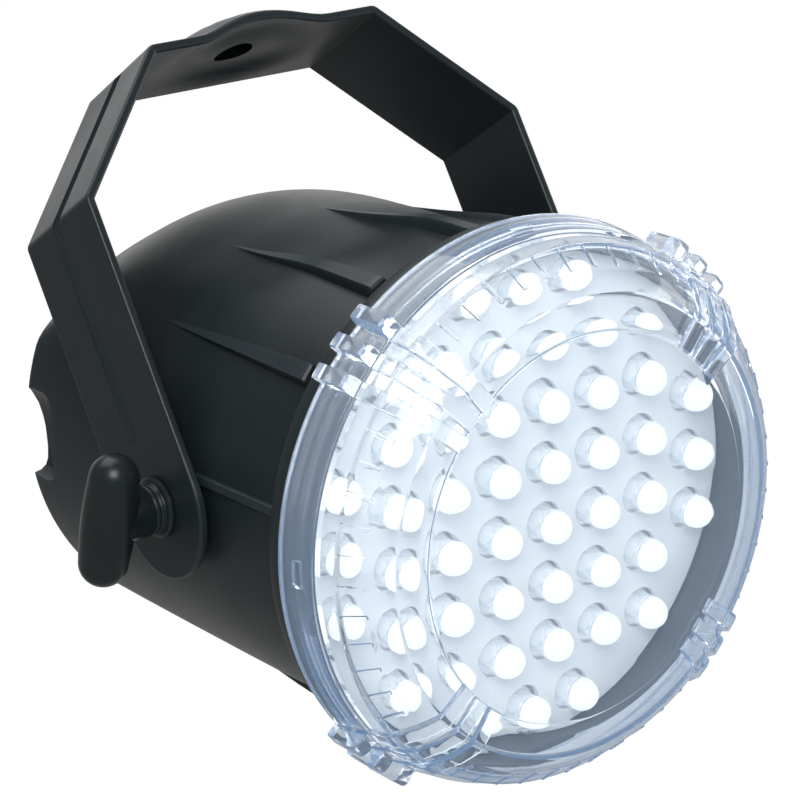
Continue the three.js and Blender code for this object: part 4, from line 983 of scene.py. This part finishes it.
class STROBE_OT_yoke(StrobeStep):
    """Builds the folded strap yoke with its ribs and hanging boss"""
    bl_idname = "strobe.yoke"
    bl_label = "Yoke"

    def build(self, sizes, finishes):
        thick = sizes.strap_thickness / MM
        half = sizes.strap_width / MM / 2
        flat = sizes.boss_radius / MM
        ease = 0.7
        lean = Matrix.Rotation(-YOKE_LEAN, 3, "X")

        def placed(x, y, z):
            return PIVOT + lean @ Vector((x, y, z)) * MM

        path = strap_line(thick, STRAP_FOLD)
        runs = [0.0]
        for a, b in zip(path, path[1:]):
            runs.append(runs[-1] + (b - a).length)
        total = runs[-1]
        middles = sorted(set([round(r, 5) for r in runs[1:-1]]
                             + [round(r, 5) for r in np.linspace(5, total - 5, 110)]))

        def on_path(run):
            if run <= 0:
                return Vector((path[0].x, run)), Vector((0, 1))
            if run >= total:
                return Vector((path[-1].x, total - run)), Vector((0, -1))
            k = min(len(path) - 2, int(np.searchsorted(runs, run, side="right")) - 1)
            part = (run - runs[k]) / (runs[k + 1] - runs[k])
            here = path[k].lerp(path[k + 1], part)
            ahead = (path[k + 1] - path[k]).normalized()
            if part < 1e-4 and k:
                ahead = (ahead + (path[k] - path[k - 1]).normalized()).normalized()
            if part > 1 - 1e-4 and k + 2 < len(path):
                ahead = (ahead + (path[k + 2] - path[k + 1]).normalized()).normalized()
            return here, ahead

        def spot(run, across, lift):
            here, ahead = on_path(run)
            out = Vector((ahead.y, -ahead.x))
            at = here + out * lift
            filled = INNER_FILL * math.cos(math.pi / 2 * across / half) * (0.5 - lift / thick)
            return placed(at.x, across, at.y + self.hump(at, across, flat) * (1 - filled))

        edge = []
        steps = 4
        for i in range(steps + 1):
            turn = math.pi / 2 * i / steps
            edge.append((ease * (1 - math.sin(turn)), thick / 2 - ease + ease * math.cos(turn)))
        for i in range(steps + 1):
            turn = math.pi / 2 * i / steps
            edge.append((ease * (1 - math.cos(turn)), -thick / 2 + ease - ease * math.sin(turn)))
        # The rim runs up one side of the strap, with a quarter round at each end, and back down the other
        rim = []
        ends = 14
        for i in range(ends + 1):
            angle = math.pi / 2 * i / ends
            rim.append((-math.cos(angle), math.sin(angle), 0.0))
        for run in middles:
            rim.append((0.0, 1.0, run))
        for i in range(ends + 1):
            angle = math.pi / 2 * (1 - i / ends)
            rim.append((math.cos(angle), math.sin(angle), total))
        rim += [(a, -b, run) for a, b, run in reversed(rim[1:-1])]
        rings = []
        for inset, lift in edge:
            rings.append([spot(run + a * (half - inset), b * (half - inset), lift) for a, b, run in rim])
        points, faces = skinned(rings)
        faces = faces[:-2]
        count = len(rim)
        columns = 12
        for number, (inset, lift) in ((0, edge[0]), (len(rings) - 1, edge[-1])):
            rows = []
            for i in range(count // 2 + 1):
                far = (count - i) % count
                row = [number * count + i]
                a, b, run = rim[i]
                if far != i:
                    for k in range(1, columns):
                        across = b * (half - inset) * (1 - 2 * k / columns)
                        row.append(len(points))
                        points.append(spot(run + a * (half - inset), across, lift))
                    row.append(number * count + far)
                rows.append(row)
            for near, far in zip(rows, rows[1:]):
                for k in range(max(len(near), len(far)) - 1):
                    corners = [near[min(k, len(near) - 1)], far[min(k, len(far) - 1)],
                               far[min(k + 1, len(far) - 1)], near[min(k + 1, len(near) - 1)]]
                    corners = list(dict.fromkeys(corners))
                    faces.append(tuple(reversed(corners)) if number else tuple(corners))
        built = mesh_object("yoke_strap", points, faces)

        joined(built, [self.rib(side, thick, placed) for side in (-1, 1)])
        top = CROWN_HEIGHT + BOSS_HEIGHT
        up = lean @ ALONG_Z
        bore = [(5.2, top - 8), (5.2, top - 0.4), (5.6, top), (6.6, top + 1)]
        arms = rod(STUD_HOLE, -ARM_OUTER - 4, ARM_OUTER + 4, 32, PIVOT, ALONG_X)
        carved(built, [turned(bore, 48, PIVOT, up), arms])
        dressed(built, "yoke", "black_plastic", black_plastic(), "yoke", angle=30)

    def hump(self, at, across, flat):
        """Rise of the hanging boss, pressed up out of the crown up to its front edge and not its rear one."""
        if at.y < CROWN_HEIGHT - 6:
            return 0.0
        reach = math.hypot(at.x, across * (BOSS_SQUEEZE if across > 0 else 1.0))
        share = min(1.0, max(0.0, (BOSS_FOOT - reach) / (BOSS_FOOT - flat)))
        return BOSS_HEIGHT * share * share * (3 - 2 * share)

    def rib(self, side, thick, placed):
        """The rib that stiffens a fold: low on the arm, tallest on the slant and running out on the crown."""
        slope = Vector((CROWN_HALF - ARM_OUTER, CROWN_HEIGHT - SHOULDER_HEIGHT)).normalized()
        out = Vector((slope.y, -slope.x))
        shoulder = Vector((ARM_OUTER, SHOULDER_HEIGHT))
        edge = Vector((CROWN_HALF, CROWN_HEIGHT))
        middle = (shoulder + edge) / 2
        stations = [
            (Vector((ARM_OUTER, 16.0)), Vector((1, 0)), 0.02),
            (Vector((ARM_OUTER, 45.0)), Vector((1, 0)), 0.5),
            (shoulder - Vector((0, 9.0)), Vector((1, 0)), 1.3),
            (shoulder - Vector((0, 2.0)), Vector((1, 0)), 2.6),
            (shoulder, (out + Vector((1, 0))).normalized(), 3.1),
            (shoulder + slope * 3.5, out, 3.6),
            (middle, out, 4.2),
            (edge - slope * 12.0, out, 3.2),
            (edge - slope * 1.5, out, 1.4),
            (edge + slope * 0.2, (out + Vector((0, 1))).normalized(), 0.25),
        ]
        rings = []
        for foot, away, height in stations:
            section = []
            low = foot - away * thick / 2
            for across, share in ((-2.3, 0), (-2.0, 0.82), (-1.85, 0.96), (-1.55, 1), (1.55, 1), (1.85, 0.96),
                                  (2.0, 0.82), (2.3, 0)):
                at = low + away * (thick / 2 + height * share) if share else foot - away * 0.05
                section.append((at, across))
            section = [(low, -2.3)] + section + [(low, 2.3)]
            rings.append([placed(side * at.x, across, at.y) for at, across in section])
        return skinned(rings)


class STROBE_OT_reflector_plate(StrobeStep):
    """Builds the silver plate with an eased hole for each lamp"""
    bl_idname = "strobe.reflector_plate"
    bl_label = "Reflector plate"

    def build(self, sizes, finishes):
        pitch = sizes.lamp_pitch / MM
        hole = sizes.hole_radius / MM
        profile = [(0.4, PLATE_FRONT), (62.1, PLATE_FRONT), (62.3, PLATE_FRONT + 0.2), (62.3, PLATE_BACK),
                   (0.4, PLATE_BACK)]
        built = mesh_object("reflector_disc", *turned(profile, 192, HEAD))
        holes = []
        for i, j in lamp_places():
            bore = [(hole + 0.5, PLATE_FRONT - 0.3), (hole + 0.2, PLATE_FRONT + 0.001),
                    (hole + 0.05, PLATE_FRONT + 0.12), (hole, PLATE_FRONT + 0.3), (hole, PLATE_BACK + 1)]
            holes.append(turned(bore, 40, head_point(i * pitch, 0, j * pitch)))
        for angle in SCREW_ANGLES:
            x, z = math.cos(math.radians(angle)), math.sin(math.radians(angle))
            notch = []
            for k in range(17):
                turn = math.radians(angle) + math.pi / 2 + math.pi * k / 16
                notch.append((SCREW_CIRCLE * x + NOTCH_RADIUS * math.cos(turn),
                              SCREW_CIRCLE * z + NOTCH_RADIUS * math.sin(turn)))
            notch.append((notch[-1][0] + 5 * x, notch[-1][1] + 5 * z))
            notch.append((notch[0][0] + 5 * x, notch[0][1] + 5 * z))
            holes.append(pushed(notch, PLATE_FRONT - 1, PLATE_BACK + 1, HEAD))
        carved(built, holes)
        dressed(built, "head", "silver_plate", self.material(finishes), "reflector_plate", angle=30)

    def material(self, finishes):
        material = plain_metal("Silver painted plate", tuple(finishes.plate), 0.36, depth=0.006,
                               metallic=0.15, stain=0.96)
        return material


class STROBE_OT_lamps(StrobeStep):
    """Builds the lamp board, the clear lamp bodies and their lit tips"""
    bl_idname = "strobe.lamps"
    bl_label = "Lamps"

    def build(self, sizes, finishes):
        pitch = sizes.lamp_pitch / MM
        round_ = sizes.lamp_radius / MM
        board = mesh_object("lamp_board_sheet", *turned(
            [(0.4, BOARD_FRONT), (61.65, BOARD_FRONT), (61.8, BOARD_FRONT + 0.15), (61.8, BOARD_BACK),
             (0.4, BOARD_BACK)], 128, HEAD))
        clearings = []
        for angle in SCREW_ANGLES:
            x, z = on_circle(SCREW_CIRCLE, angle)
            clearings.append(rod(1.5, BOARD_FRONT - 1, BOARD_BACK + 1, 20, head_point(x, 0, z)))
        carved(board, clearings)
        board_material = moulded_plastic("White lamp board", (0.62, 0.64, 0.66), 0.45, 900.0, 0.02, 0.4, 1.1)
        dressed(board, "head", "lamps", board_material, "led_board")

        tips, bodies = [], []
        for i, j in lamp_places():
            centre = head_point(i * pitch, 0, j * pitch)
            dome = [(round_ * math.sin(t), -round_ * math.cos(t)) for t in np.linspace(0.08, math.pi / 2, 9)]
            dome += [(round_, 0.35), (round_ - 0.25, 0.6), (2.6, 0.75)]
            cup = [(2.3, 1.6), (1.3, 3.0), (1.1, 3.4)]
            tips.append(turned(dome, 24, centre))
            tips.append(turned(cup, 16, centre))
            body = [(round_ - 0.35, 0.85), (round_, 1.05), (round_, 5.6), (round_ + 0.1, 5.8),
                    (round_ + 0.5, 5.9), (round_ + 0.6, 6.05), (round_ + 0.6, 6.95)]
            hollow = [(2.75, 6.95), (2.75, 1.3), (2.6, 0.85)]
            bodies.append(turned(body + hollow, 28, centre, torus=True))
        tip = mesh_object("lamp_tips", *outward_parts(tips), outward=False)
        # The resin's faint emission is a painted glow, standing in for lamp light scattered inside it.
        resin = clear_plastic("Clear lamp resin", (0.93, 0.95, 0.97), 0.03, 1.5, 0.86, 0.08, (0.8, 0.9, 0.96))
        glow = lamp_glow("Lit lamp", tuple(finishes.lamp), tuple(finishes.halo), finishes.lamp_power)
        dressed(tip, "head", "lamps", glow, "led_board")
        clear = mesh_object("lamp_bodies", *outward_parts(bodies), outward=False)
        dressed(clear, "head", "lamps", resin, "led_board")


# Radius and height of a head, and radius and length of a shank
PLATE_SCREW = {"head": (2.5, 2.1), "shank": (1.25, 6.6)}
REAR_SCREW = {"head": (3.0, 2.0), "shank": (1.5, 14.0)}


def pan_head(name, centre, axis, radius, height, under, slot_depth=0.7):
    """A screw's pan head with a cross recess. The axis points from the head to the tip."""
    profile = [(radius * 0.25, under - height), (radius * 0.62, under - height * 0.96),
               (radius * 0.86, under - height * 0.78), (radius, under - height * 0.4), (radius, under - 0.12),
               (radius - 0.12, under)]
    built = mesh_object(name, *turned(profile, 40, centre, axis))
    first, second, along = cross_axes(axis)
    length, width = radius * 1.15, radius * 0.26
    for a, b in ((first, second), (second, first)):
        outline = box_outline(length, width)
        carved(built, [pushed(outline, under - height - 1, under - height + slot_depth, centre, a, b, along)])
    return built


class STROBE_OT_screws(StrobeStep):
    """Builds the screws of the reflector plate and of the rear panel"""
    bl_idname = "strobe.screws"
    bl_label = "Screws"

    def build(self, sizes, finishes):
        for number, angle in enumerate(SCREW_ANGLES, 1):
            x, z = on_circle(SCREW_CIRCLE, angle)
            centre = head_point(x, 0, z)
            under = PLATE_FRONT - 0.25
            built = pan_head(f"plate_screw_head_{number}", centre, ALONG_Y, *PLATE_SCREW["head"], under)
            joined(built, [self.shank(centre, ALONG_Y, under, *PLATE_SCREW["shank"])])
            dressed(built, "head", "plated_steel", plated_steel(), f"plate_screw_{number}")
        for number, angle in enumerate(REAR_ANGLES, 1):
            x, z = on_circle(REAR_CIRCLE, angle)
            centre = head_point(x, 0, z)
            under = -(PANEL_BACK + 0.25)
            built = pan_head(f"rear_screw_head_{number}", centre, -ALONG_Y, *REAR_SCREW["head"], under)
            joined(built, [self.shank(centre, -ALONG_Y, under, *REAR_SCREW["shank"])])
            dressed(built, "head", "plated_steel", plated_steel(), f"rear_screw_{number}")

    def shank(self, centre, axis, under, radius, length):
        """A threaded shank."""
        profile = [(radius * 0.8, under - 0.3)]
        turns = int(length / 0.7)
        for i in range(turns):
            at = under + 0.4 + i * length / (turns + 1)
            profile += [(radius * 0.8, at), (radius, at + 0.25), (radius * 0.8, at + 0.5)]
        profile += [(radius * 0.3, under + length)]
        return turned(profile, 20, centre, axis)


class STROBE_OT_pivot_knobs(StrobeStep):
    """Builds the two T-knobs with their ringed necks, and dresses the pivot fittings"""
    bl_idname = "strobe.pivot_knobs"
    bl_label = "Pivot knobs"

    def build(self, sizes, finishes):
        rubber = moulded_plastic("Black rubber", (0.01, 0.01, 0.011), 0.75, 1200.0, 0.03, 0.2)
        brass = plain_metal("Turned brass", (0.55, 0.38, 0.12), 0.3)
        for name, side, turn in KNOB_TURNS:
            self.knob(name, side, math.radians(turn), sizes)
            finished_node(f"{name}_washer", rubber)
            finished_node(f"{name}_insert", brass)
            finished_node(f"{name}_stud", plated_steel())

    def knob(self, name, side, turn, sizes):
        """A T-knob, with its bar turned away from upright."""
        axis = ALONG_X * side
        middle = sizes.bar_radius / MM
        end = middle - 0.6
        half = sizes.bar_span / MM / 2
        neck = [(KNOB_BORE, KNOB_FACE), (7.1, KNOB_FACE), (7.4, KNOB_FACE + 0.3), (7.4, KNOB_FACE + 1.0),
                (7.1, KNOB_FACE + 1.3), (6.35, KNOB_FACE + 1.5)]
        at = KNOB_FACE + 1.8
        while at < KNOB_REACH - middle - 3:
            neck += [(NECK_RADIUS, at), (NECK_RADIUS, at + 0.6), (6.1, at + 0.75), (6.0, at + 0.85),
                     (6.0, at + 1.0), (6.1, at + 1.1)]
            at += 1.3
        neck += [(NECK_RADIUS, at), (NECK_RADIUS, KNOB_REACH - 2.0), (KNOB_BORE, KNOB_REACH - 2.0),
                 (KNOB_BORE, KNOB_REACH - 3.4)]
        built = mesh_object(f"{name}_knob_bar", *turned(neck, 48, PIVOT, axis, torus=True))
        along = Vector((0, -math.sin(turn), math.cos(turn)))
        profile = []
        for k in range(1, 10):
            angle = math.pi / 2 * k / 9
            profile.append((end * math.sin(angle), -half + end - end * math.cos(angle)))
        for share in (-0.6, -0.25, 0.0, 0.25, 0.6):
            swell = end + (middle - end) * (1 - share * share)
            profile.append((swell, share * (half - end)))
        for k in range(9, 0, -1):
            angle = math.pi / 2 * k / 9
            profile.append((end * math.sin(angle), half - end + end * math.cos(angle)))
        bar = turned(profile, 48, PIVOT + axis * KNOB_REACH * MM, along)
        joined(built, [bar])
        carved(built, [rod(KNOB_BORE, KNOB_FACE - 2, KNOB_FACE + 9.25, 32, PIVOT, axis)])
        dressed(built, f"{name}_knob", "knob_plastic", knob_plastic(), f"{name}_knob", angle=35)


class STROBE_OT_rear_panel(StrobeStep):
    """Builds the recessed rear panel with its vents, holes and pillars"""
    bl_idname = "strobe.rear_panel"
    bl_label = "Rear panel"

    def build(self, sizes, finishes):
        wall = sizes.shell_wall / MM + 0.4

        def wave(radius, distance, angle):
            if radius < 50:
                return radius
            return barrel_reach(distance, math.cos(angle), wall) - (PANEL_RADIUS - radius)

        profile = [(0.4, PANEL_FRONT), (PANEL_RADIUS, PANEL_FRONT), (PANEL_RADIUS, PANEL_BACK - 0.3),
                   (59.7, PANEL_BACK), (0.4, PANEL_BACK)]
        built = mesh_object("rear_panel_plate", *turned(profile, 160, HEAD, ALONG_Y, wave=wave))
        away = []
        for side in (-1, 1):
            floor = min(point[0] for point in POCKET_LINE) - wall
            half = sizes.pocket_half / MM + wall
            start, end = sorted((side * floor, side * 70))
            outline = box_outline(20.0, 2 * half, PANEL_BACK)
            away.append(pushed(outline, start, end, HEAD, ALONG_Y, ALONG_Z, ALONG_X))
        vents = []
        for side in (-1, 1):
            for row in range(VENT_ROWS):
                z = PANEL_MIDDLE + (row - VENT_ROWS // 2) * VENT_STEP
                slot = stadium(*VENT_SIZE, side * VENT_SIDE, z)
                vents.append(pushed(slot, PANEL_FRONT - 2, PANEL_BACK + 2, HEAD))
        for angle in REAR_ANGLES:
            x, z = on_circle(REAR_CIRCLE, angle)
            vents.append(rod(1.75, PANEL_FRONT - 2, PANEL_BACK + 2, 24, head_point(x, 0, z)))
        for radius, height in ((4.15, RATE_HEIGHT), (6.25, GLAND_DROP)):
            vents.append(rod(radius, PANEL_FRONT - 2, PANEL_BACK + 2, 32, head_point(0, 0, height)))
        carved(built, away)
        carved(built, vents)
        pillars = []
        for sx in (-1, 1):
            for sz in (-1, 1):
                spot = head_point(sx * PILLAR_SIDE, 0, PANEL_MIDDLE + sz * PILLAR_HEIGHT)
                pillars.append(turned([(3.0, PANEL_FRONT - 15.5), (3.2, PANEL_FRONT + 1)], 24, spot))
        joined(built, pillars)
        dressed(built, "head", "black_plastic", black_plastic(), "rear_panel", angle=30)


class STROBE_OT_rate_knob(StrobeStep):
    """Builds the fluted rate knob with its pointer, and dresses the control behind it"""
    bl_idname = "strobe.rate_knob"
    bl_label = "Rate knob"

    def build(self, sizes, finishes):
        foot = PANEL_BACK + 0.8
        top = foot + 15.5
        centre = head_point(0, 0, RATE_HEIGHT)

        def wave(radius, distance, angle):
            if radius < 7.9 or distance < foot + 3.0 or distance > top - 0.9:
                return radius
            flute = abs(math.cos(5 * (angle + math.pi / 2)))
            return radius - 0.95 * max(0.0, flute - 0.35) / 0.65 * min(1.0, (distance - foot - 3.0) / 0.8)

        profile = [(7.4, foot), (10.3, foot), (10.6, foot + 0.3), (10.6, foot + 1.3), (10.4, foot + 1.8),
                   (9.4, foot + 3.0), (9.4, foot + 3.4), (9.35, foot + 4.2), (9.2, foot + 8.0),
                   (9.0, foot + 12.0), (8.85, top - 1.3), (8.6, top - 0.7), (8.1, top - 0.2), (7.5, top),
                   (0.4, top), (0.4, top - 2.75), (3.25, top - 2.75), (3.25, foot + 5), (7.4, foot + 5)]
        built = mesh_object("rate_knob_cap", *turned(profile, 120, centre, wave=wave, torus=True))
        pointer = pushed(round_box(1.6, 7.0, 0.6, 4, 0, 4.0), top - 0.7, top + 0.7, centre)
        joined(built, [pointer])
        dressed(built, "rate_knob", "knob_plastic", knob_plastic(), "rate_knob", angle=35)
        for name in ("pot_shaft", "pot_nut", "potentiometer"):
            finished_node(name, plated_steel())


class STROBE_OT_cable_gland(StrobeStep):
    """Builds the cable gland's body and its fluted cap, and dresses its nut"""
    bl_idname = "strobe.cable_gland"
    bl_label = "Cable gland"

    def build(self, sizes, finishes):
        face = PANEL_BACK + 0.25
        centre = head_point(0, 0, GLAND_DROP)
        corner = 7.5 / math.cos(math.pi / 6)
        hexagon = [(corner * math.cos(math.pi * k / 3), corner * math.sin(math.pi * k / 3)) for k in range(6)]
        body = mesh_object("gland_hexagon", *pushed(hexagon, face, face + 4, centre))
        eased(body, 0.5, 3)
        thread = [(5.6, face - 10)]
        for k in range(8):
            thread += [(5.6, face - 9.7 + k * 1.2), (6.0, face - 9.3 + k * 1.2), (5.6, face - 8.9 + k * 1.2)]
        thread += [(5.6, face + 2)]
        joined(body, [turned(thread, 40, centre)])
        joined(body, [rod(5.1, face + 2, face + 8, 40, centre)])
        carved(body, [rod(3.4, face - 12, face + 12, 40, centre)])
        dressed(body, "head", "nylon", nylon(), "gland_body")

        foot = face + 4.25
        top = foot + 10

        def wave(radius, distance, angle):
            if radius < 5.6 or distance > foot + 6.5:
                return radius
            return radius - 0.32 * max(0.0, math.cos(12 * angle))

        profile = [(5.35, foot), (6.9, foot), (7.2, foot + 0.4), (7.2, foot + 3), (7.2, foot + 5),
                   (7.15, foot + 5.8), (6.9, foot + 6.6), (6.3, foot + 8.2), (5.6, foot + 9.5),
                   (5.2, top - 0.15), (4.8, top), (3.7, top), (3.4, top - 0.3), (3.4, top - 2),
                   (5.35, top - 4)]
        cap = mesh_object("gland_dome", *turned(profile, 144, centre, wave=wave, torus=True))
        dressed(cap, "head", "nylon", nylon(), "gland_cap", angle=35)
        finished_node("gland_nut", nylon())


class STROBE_OT_inner_works(StrobeStep):
    """Dresses the driver board, the transformer and the small parts inside"""
    bl_idname = "strobe.inner_works"
    bl_label = "Inner works"

    def build(self, sizes, finishes):
        board = moulded_plastic("Green circuit board", (0.014, 0.1, 0.038), 0.4, 700.0, 0.03, 0.4)
        sheets = banded("Steel laminations", (0.07, 0.075, 0.08), (0.02, 0.02, 0.022), 900.0, 0.35, 0.8, "Y")
        winding = banded("Enamelled winding", (0.48, 0.24, 0.035), (0.16, 0.07, 0.01), 700.0, 0.3, 0.2, "Z")
        finished_node("driver_board", board)
        finished_node("transformer_core", sheets)
        finished_node("transformer_coil", winding)
        for number in (1, 2):
            finished_node(f"driver_screw_{number}", plated_steel())
        for number in (1, 2, 3):
            finished_node(f"spacer_{number}", nylon())


# ---------------------------------------------------------------- studio

# The camera's place in millimetres about the lamp grid's centre, and its right and upward directions
CAMERA_PLACE = (-414.68, -508.62, 245.6)
CAMERA_RIGHT = (0.7951, -0.6056, -0.0328)
CAMERA_UP = (0.2168, 0.2333, 0.9479)

# Each softbox's place about the middle of the light and its side, in metres, and where its power is set
SOFTBOXES = (
    ("key_softbox", (-0.55, -0.75, 0.75), 0.6, "key_power"),
    ("fill_softbox", (1.0, -0.4, 0.1), 0.7, "fill_power"),
    ("top_softbox", (-0.1, 0.35, 0.8), 0.7, "fill_power"),
)

# Where the white backdrop stands, how far its edge fades, and how bright the floor is at most, all for gloss
BACKDROP_SIDE = (0.6, 0.72, -0.3)
BACKDROP_FADE = 0.4
FLOOR_GLOSS = 0.4

# The floor's own white for the eye, and its share over the lit floor, which keeps the soft shadow
FLOOR_WHITE = 1.1
FLOOR_SHARE = 0.85


class STROBE_OT_stage(bpy.types.Operator):
    """Sets the floor, the camera, the lamps and the world of a plain pale studio"""
    bl_idname = "strobe.stage"
    bl_label = "Studio"
    bl_options = {"REGISTER", "UNDO"}

    def execute(self, context):
        stage = context.scene.strobe_stage
        self.camera(context.scene, stage)
        self.world(context.scene, stage)
        self.floor(stage)
        for name, place, size, power in SOFTBOXES:
            self.light(name, place, size, getattr(stage, power))
        context.scene.view_settings.view_transform = "Standard"
        return {"FINISHED"}

    def camera(self, scene, stage):
        """The camera at the photograph's viewing angle."""
        lens = bpy.data.cameras.new("photo_camera")
        lens.lens = stage.lens
        lens.sensor_width = 36.0
        camera = bpy.data.objects.new("photo_camera", lens)
        scene.collection.objects.link(camera)
        right = Vector(CAMERA_RIGHT)
        up = Vector(CAMERA_UP)
        right.normalize()
        up = (up - right * up.dot(right)).normalized()
        back = right.cross(up)
        turn = Matrix((right, up, back)).transposed().to_4x4()
        camera.matrix_world = Matrix.Translation(head_point(*CAMERA_PLACE)) @ turn
        scene.camera = camera

    def world(self, scene, stage):
        """White all round for the eye and through glass, a dim room for light, and the backdrop for gloss."""
        world = bpy.data.worlds.new("Pale studio")
        world.use_nodes = True
        scene.world = world
        tree = world.node_tree
        background = tree.nodes["Background"]
        background.inputs["Color"].default_value = (1, 1, 1, 1)
        path = shader_node(tree, "ShaderNodeLightPath")
        place = shader_node(tree, "ShaderNodeTexCoord")
        backdrop = self.backdrop(tree, place.outputs["Generated"], stage)
        glossy = shader_node(tree, "ShaderNodeMix", {"A": stage.room_light}, data_type="FLOAT")
        seen = shader_node(tree, "ShaderNodeMath", operation="MAXIMUM")
        level = shader_node(tree, "ShaderNodeMix", {"B": 1.0}, data_type="FLOAT")
        tree.links.new(path.outputs["Is Glossy Ray"], glossy.inputs["Factor"])
        tree.links.new(backdrop, glossy.inputs["B"])
        wired(tree, (path, "Is Camera Ray", seen, 0), (path, "Is Transmission Ray", seen, 1),
              (seen, 0, level, "Factor"), (glossy, "Result", level, "A"),
              (level, "Result", background, "Strength"))

    def backdrop(self, tree, direction, stage, brightest=1.0):
        """Brightness of what gloss sees in a direction: white behind the light, dim in front of it."""
        towards = shader_node(tree, "ShaderNodeVectorMath", {1: BACKDROP_SIDE}, operation="DOT_PRODUCT")
        spread = shader_node(tree, "ShaderNodeMapRange", {
            "From Min": stage.backdrop_start, "From Max": stage.backdrop_start + BACKDROP_FADE,
            "To Min": stage.front_light, "To Max": brightest,
        }, interpolation_type="SMOOTHSTEP")
        tree.links.new(direction, towards.inputs[0])
        tree.links.new(towards.outputs["Value"], spread.inputs["Value"])
        return spread.outputs["Result"]

    def floor(self, stage):
        """The pale floor, well below the hanging light."""
        size = 6.0
        corners = [(-size, -size, -stage.floor_drop), (size, -size, -stage.floor_drop),
                   (size, size, -stage.floor_drop), (-size, size, -stage.floor_drop)]
        floor = mesh_object("pale_floor", corners, [(0, 1, 2, 3)], outward=False)
        material, tree, principled = new_material("Pale floor", {"Roughness": 0.8})
        place = shader_node(tree, "ShaderNodeTexCoord")
        noise = shader_node(tree, "ShaderNodeTexNoise", {"Scale": 3.0})
        tree.links.new(place.outputs["Object"], noise.inputs["Vector"])
        varied_colour(tree, principled, noise.outputs["Fac"], (0.84, 0.84, 0.84), (0.86, 0.86, 0.86))
        path = shader_node(tree, "ShaderNodeLightPath")
        seen = shader_node(tree, "ShaderNodeMath", operation="MAXIMUM")
        through = shader_node(tree, "ShaderNodeMath", operation="MAXIMUM")
        white = shader_node(tree, "ShaderNodeEmission")
        mix = shader_node(tree, "ShaderNodeMixShader")
        aside = shader_node(tree, "ShaderNodeVectorMath", {1: (HEAD + PIVOT) / 2}, operation="SUBTRACT")
        direction = shader_node(tree, "ShaderNodeVectorMath", operation="NORMALIZE")
        level = shader_node(tree, "ShaderNodeMix", {"A": FLOOR_WHITE}, data_type="FLOAT")
        share = shader_node(tree, "ShaderNodeMath", {1: FLOOR_SHARE}, operation="MULTIPLY")
        wired(tree, (place, "Object", aside, 0), (aside, "Vector", direction, 0),
              (path, "Is Glossy Ray", level, "Factor"))
        dimmed = self.backdrop(tree, direction.outputs["Vector"], stage, FLOOR_GLOSS)
        tree.links.new(dimmed, level.inputs["B"])
        wired(tree, (level, "Result", white, "Strength"), (path, "Is Camera Ray", seen, 0),
              (path, "Is Glossy Ray", seen, 1), (seen, 0, through, 0),
              (path, "Is Transmission Ray", through, 1),
              (through, 0, share, 0), (share, 0, mix, 0), (principled, "BSDF", mix, 1),
              (white, "Emission", mix, 2))
        tree.links.new(mix.outputs["Shader"], tree.nodes["Material Output"].inputs["Surface"])
        floor.data.materials.append(material)

    def light(self, name, place, size, power):
        """A square softbox, in metres from the middle of the light, which it faces."""
        lamp = bpy.data.lights.new(name, "AREA")
        lamp.shape = "SQUARE"
        lamp.size = size
        lamp.energy = power
        light = bpy.data.objects.new(name, lamp)
        bpy.context.scene.collection.objects.link(light)
        aim = (HEAD + PIVOT) / 2
        light.location = aim + Vector(place)
        light.rotation_euler = (aim - light.location).to_track_quat("-Z", "Y").to_euler()


STEPS = (
    STROBE_OT_housing,
    STROBE_OT_rear_panel,
    STROBE_OT_clear_cap,
    STROBE_OT_yoke,
    STROBE_OT_reflector_plate,
    STROBE_OT_lamps,
    STROBE_OT_screws,
    STROBE_OT_pivot_knobs,
    STROBE_OT_rate_knob,
    STROBE_OT_cable_gland,
    STROBE_OT_inner_works,
    STROBE_OT_stage,
)


class STROBE_PT_builder(bpy.types.Panel):
    """Lists the pieces of the strobe light and what a user may change"""
    bl_idname = "STROBE_PT_builder"
    bl_label = "Strobe light"
    bl_space_type = "VIEW_3D"
    bl_region_type = "UI"
    bl_category = "Strobe light"

    def draw(self, context):
        for title, group in (
            ("Sizes", context.scene.strobe_sizes),
            ("Finishes", context.scene.strobe_finishes),
            ("Studio", context.scene.strobe_stage),
        ):
            box = self.layout.box()
            box.label(text=title)
            for name in group.__annotations__:
                box.prop(group, name)
        for step in STEPS:
            self.layout.operator(step.bl_idname)


GROUPS = (StrobeSizes, StrobeFinishes, StrobeStage)


def register():
    for kind in (*GROUPS, *STEPS, STROBE_PT_builder):
        bpy.utils.register_class(kind)
    bpy.types.Scene.strobe_sizes = PointerProperty(type=StrobeSizes)
    bpy.types.Scene.strobe_finishes = PointerProperty(type=StrobeFinishes)
    bpy.types.Scene.strobe_stage = PointerProperty(type=StrobeStage)


def unregister():
    del bpy.types.Scene.strobe_stage
    del bpy.types.Scene.strobe_finishes
    del bpy.types.Scene.strobe_sizes
    for kind in reversed((*GROUPS, *STEPS, STROBE_PT_builder)):
        bpy.utils.unregister_class(kind)


def main():
    register()
    for step in STEPS:
        group, name = step.bl_idname.split(".")
        getattr(getattr(bpy.ops, group), name)()


if __name__ == "__main__":
    main()
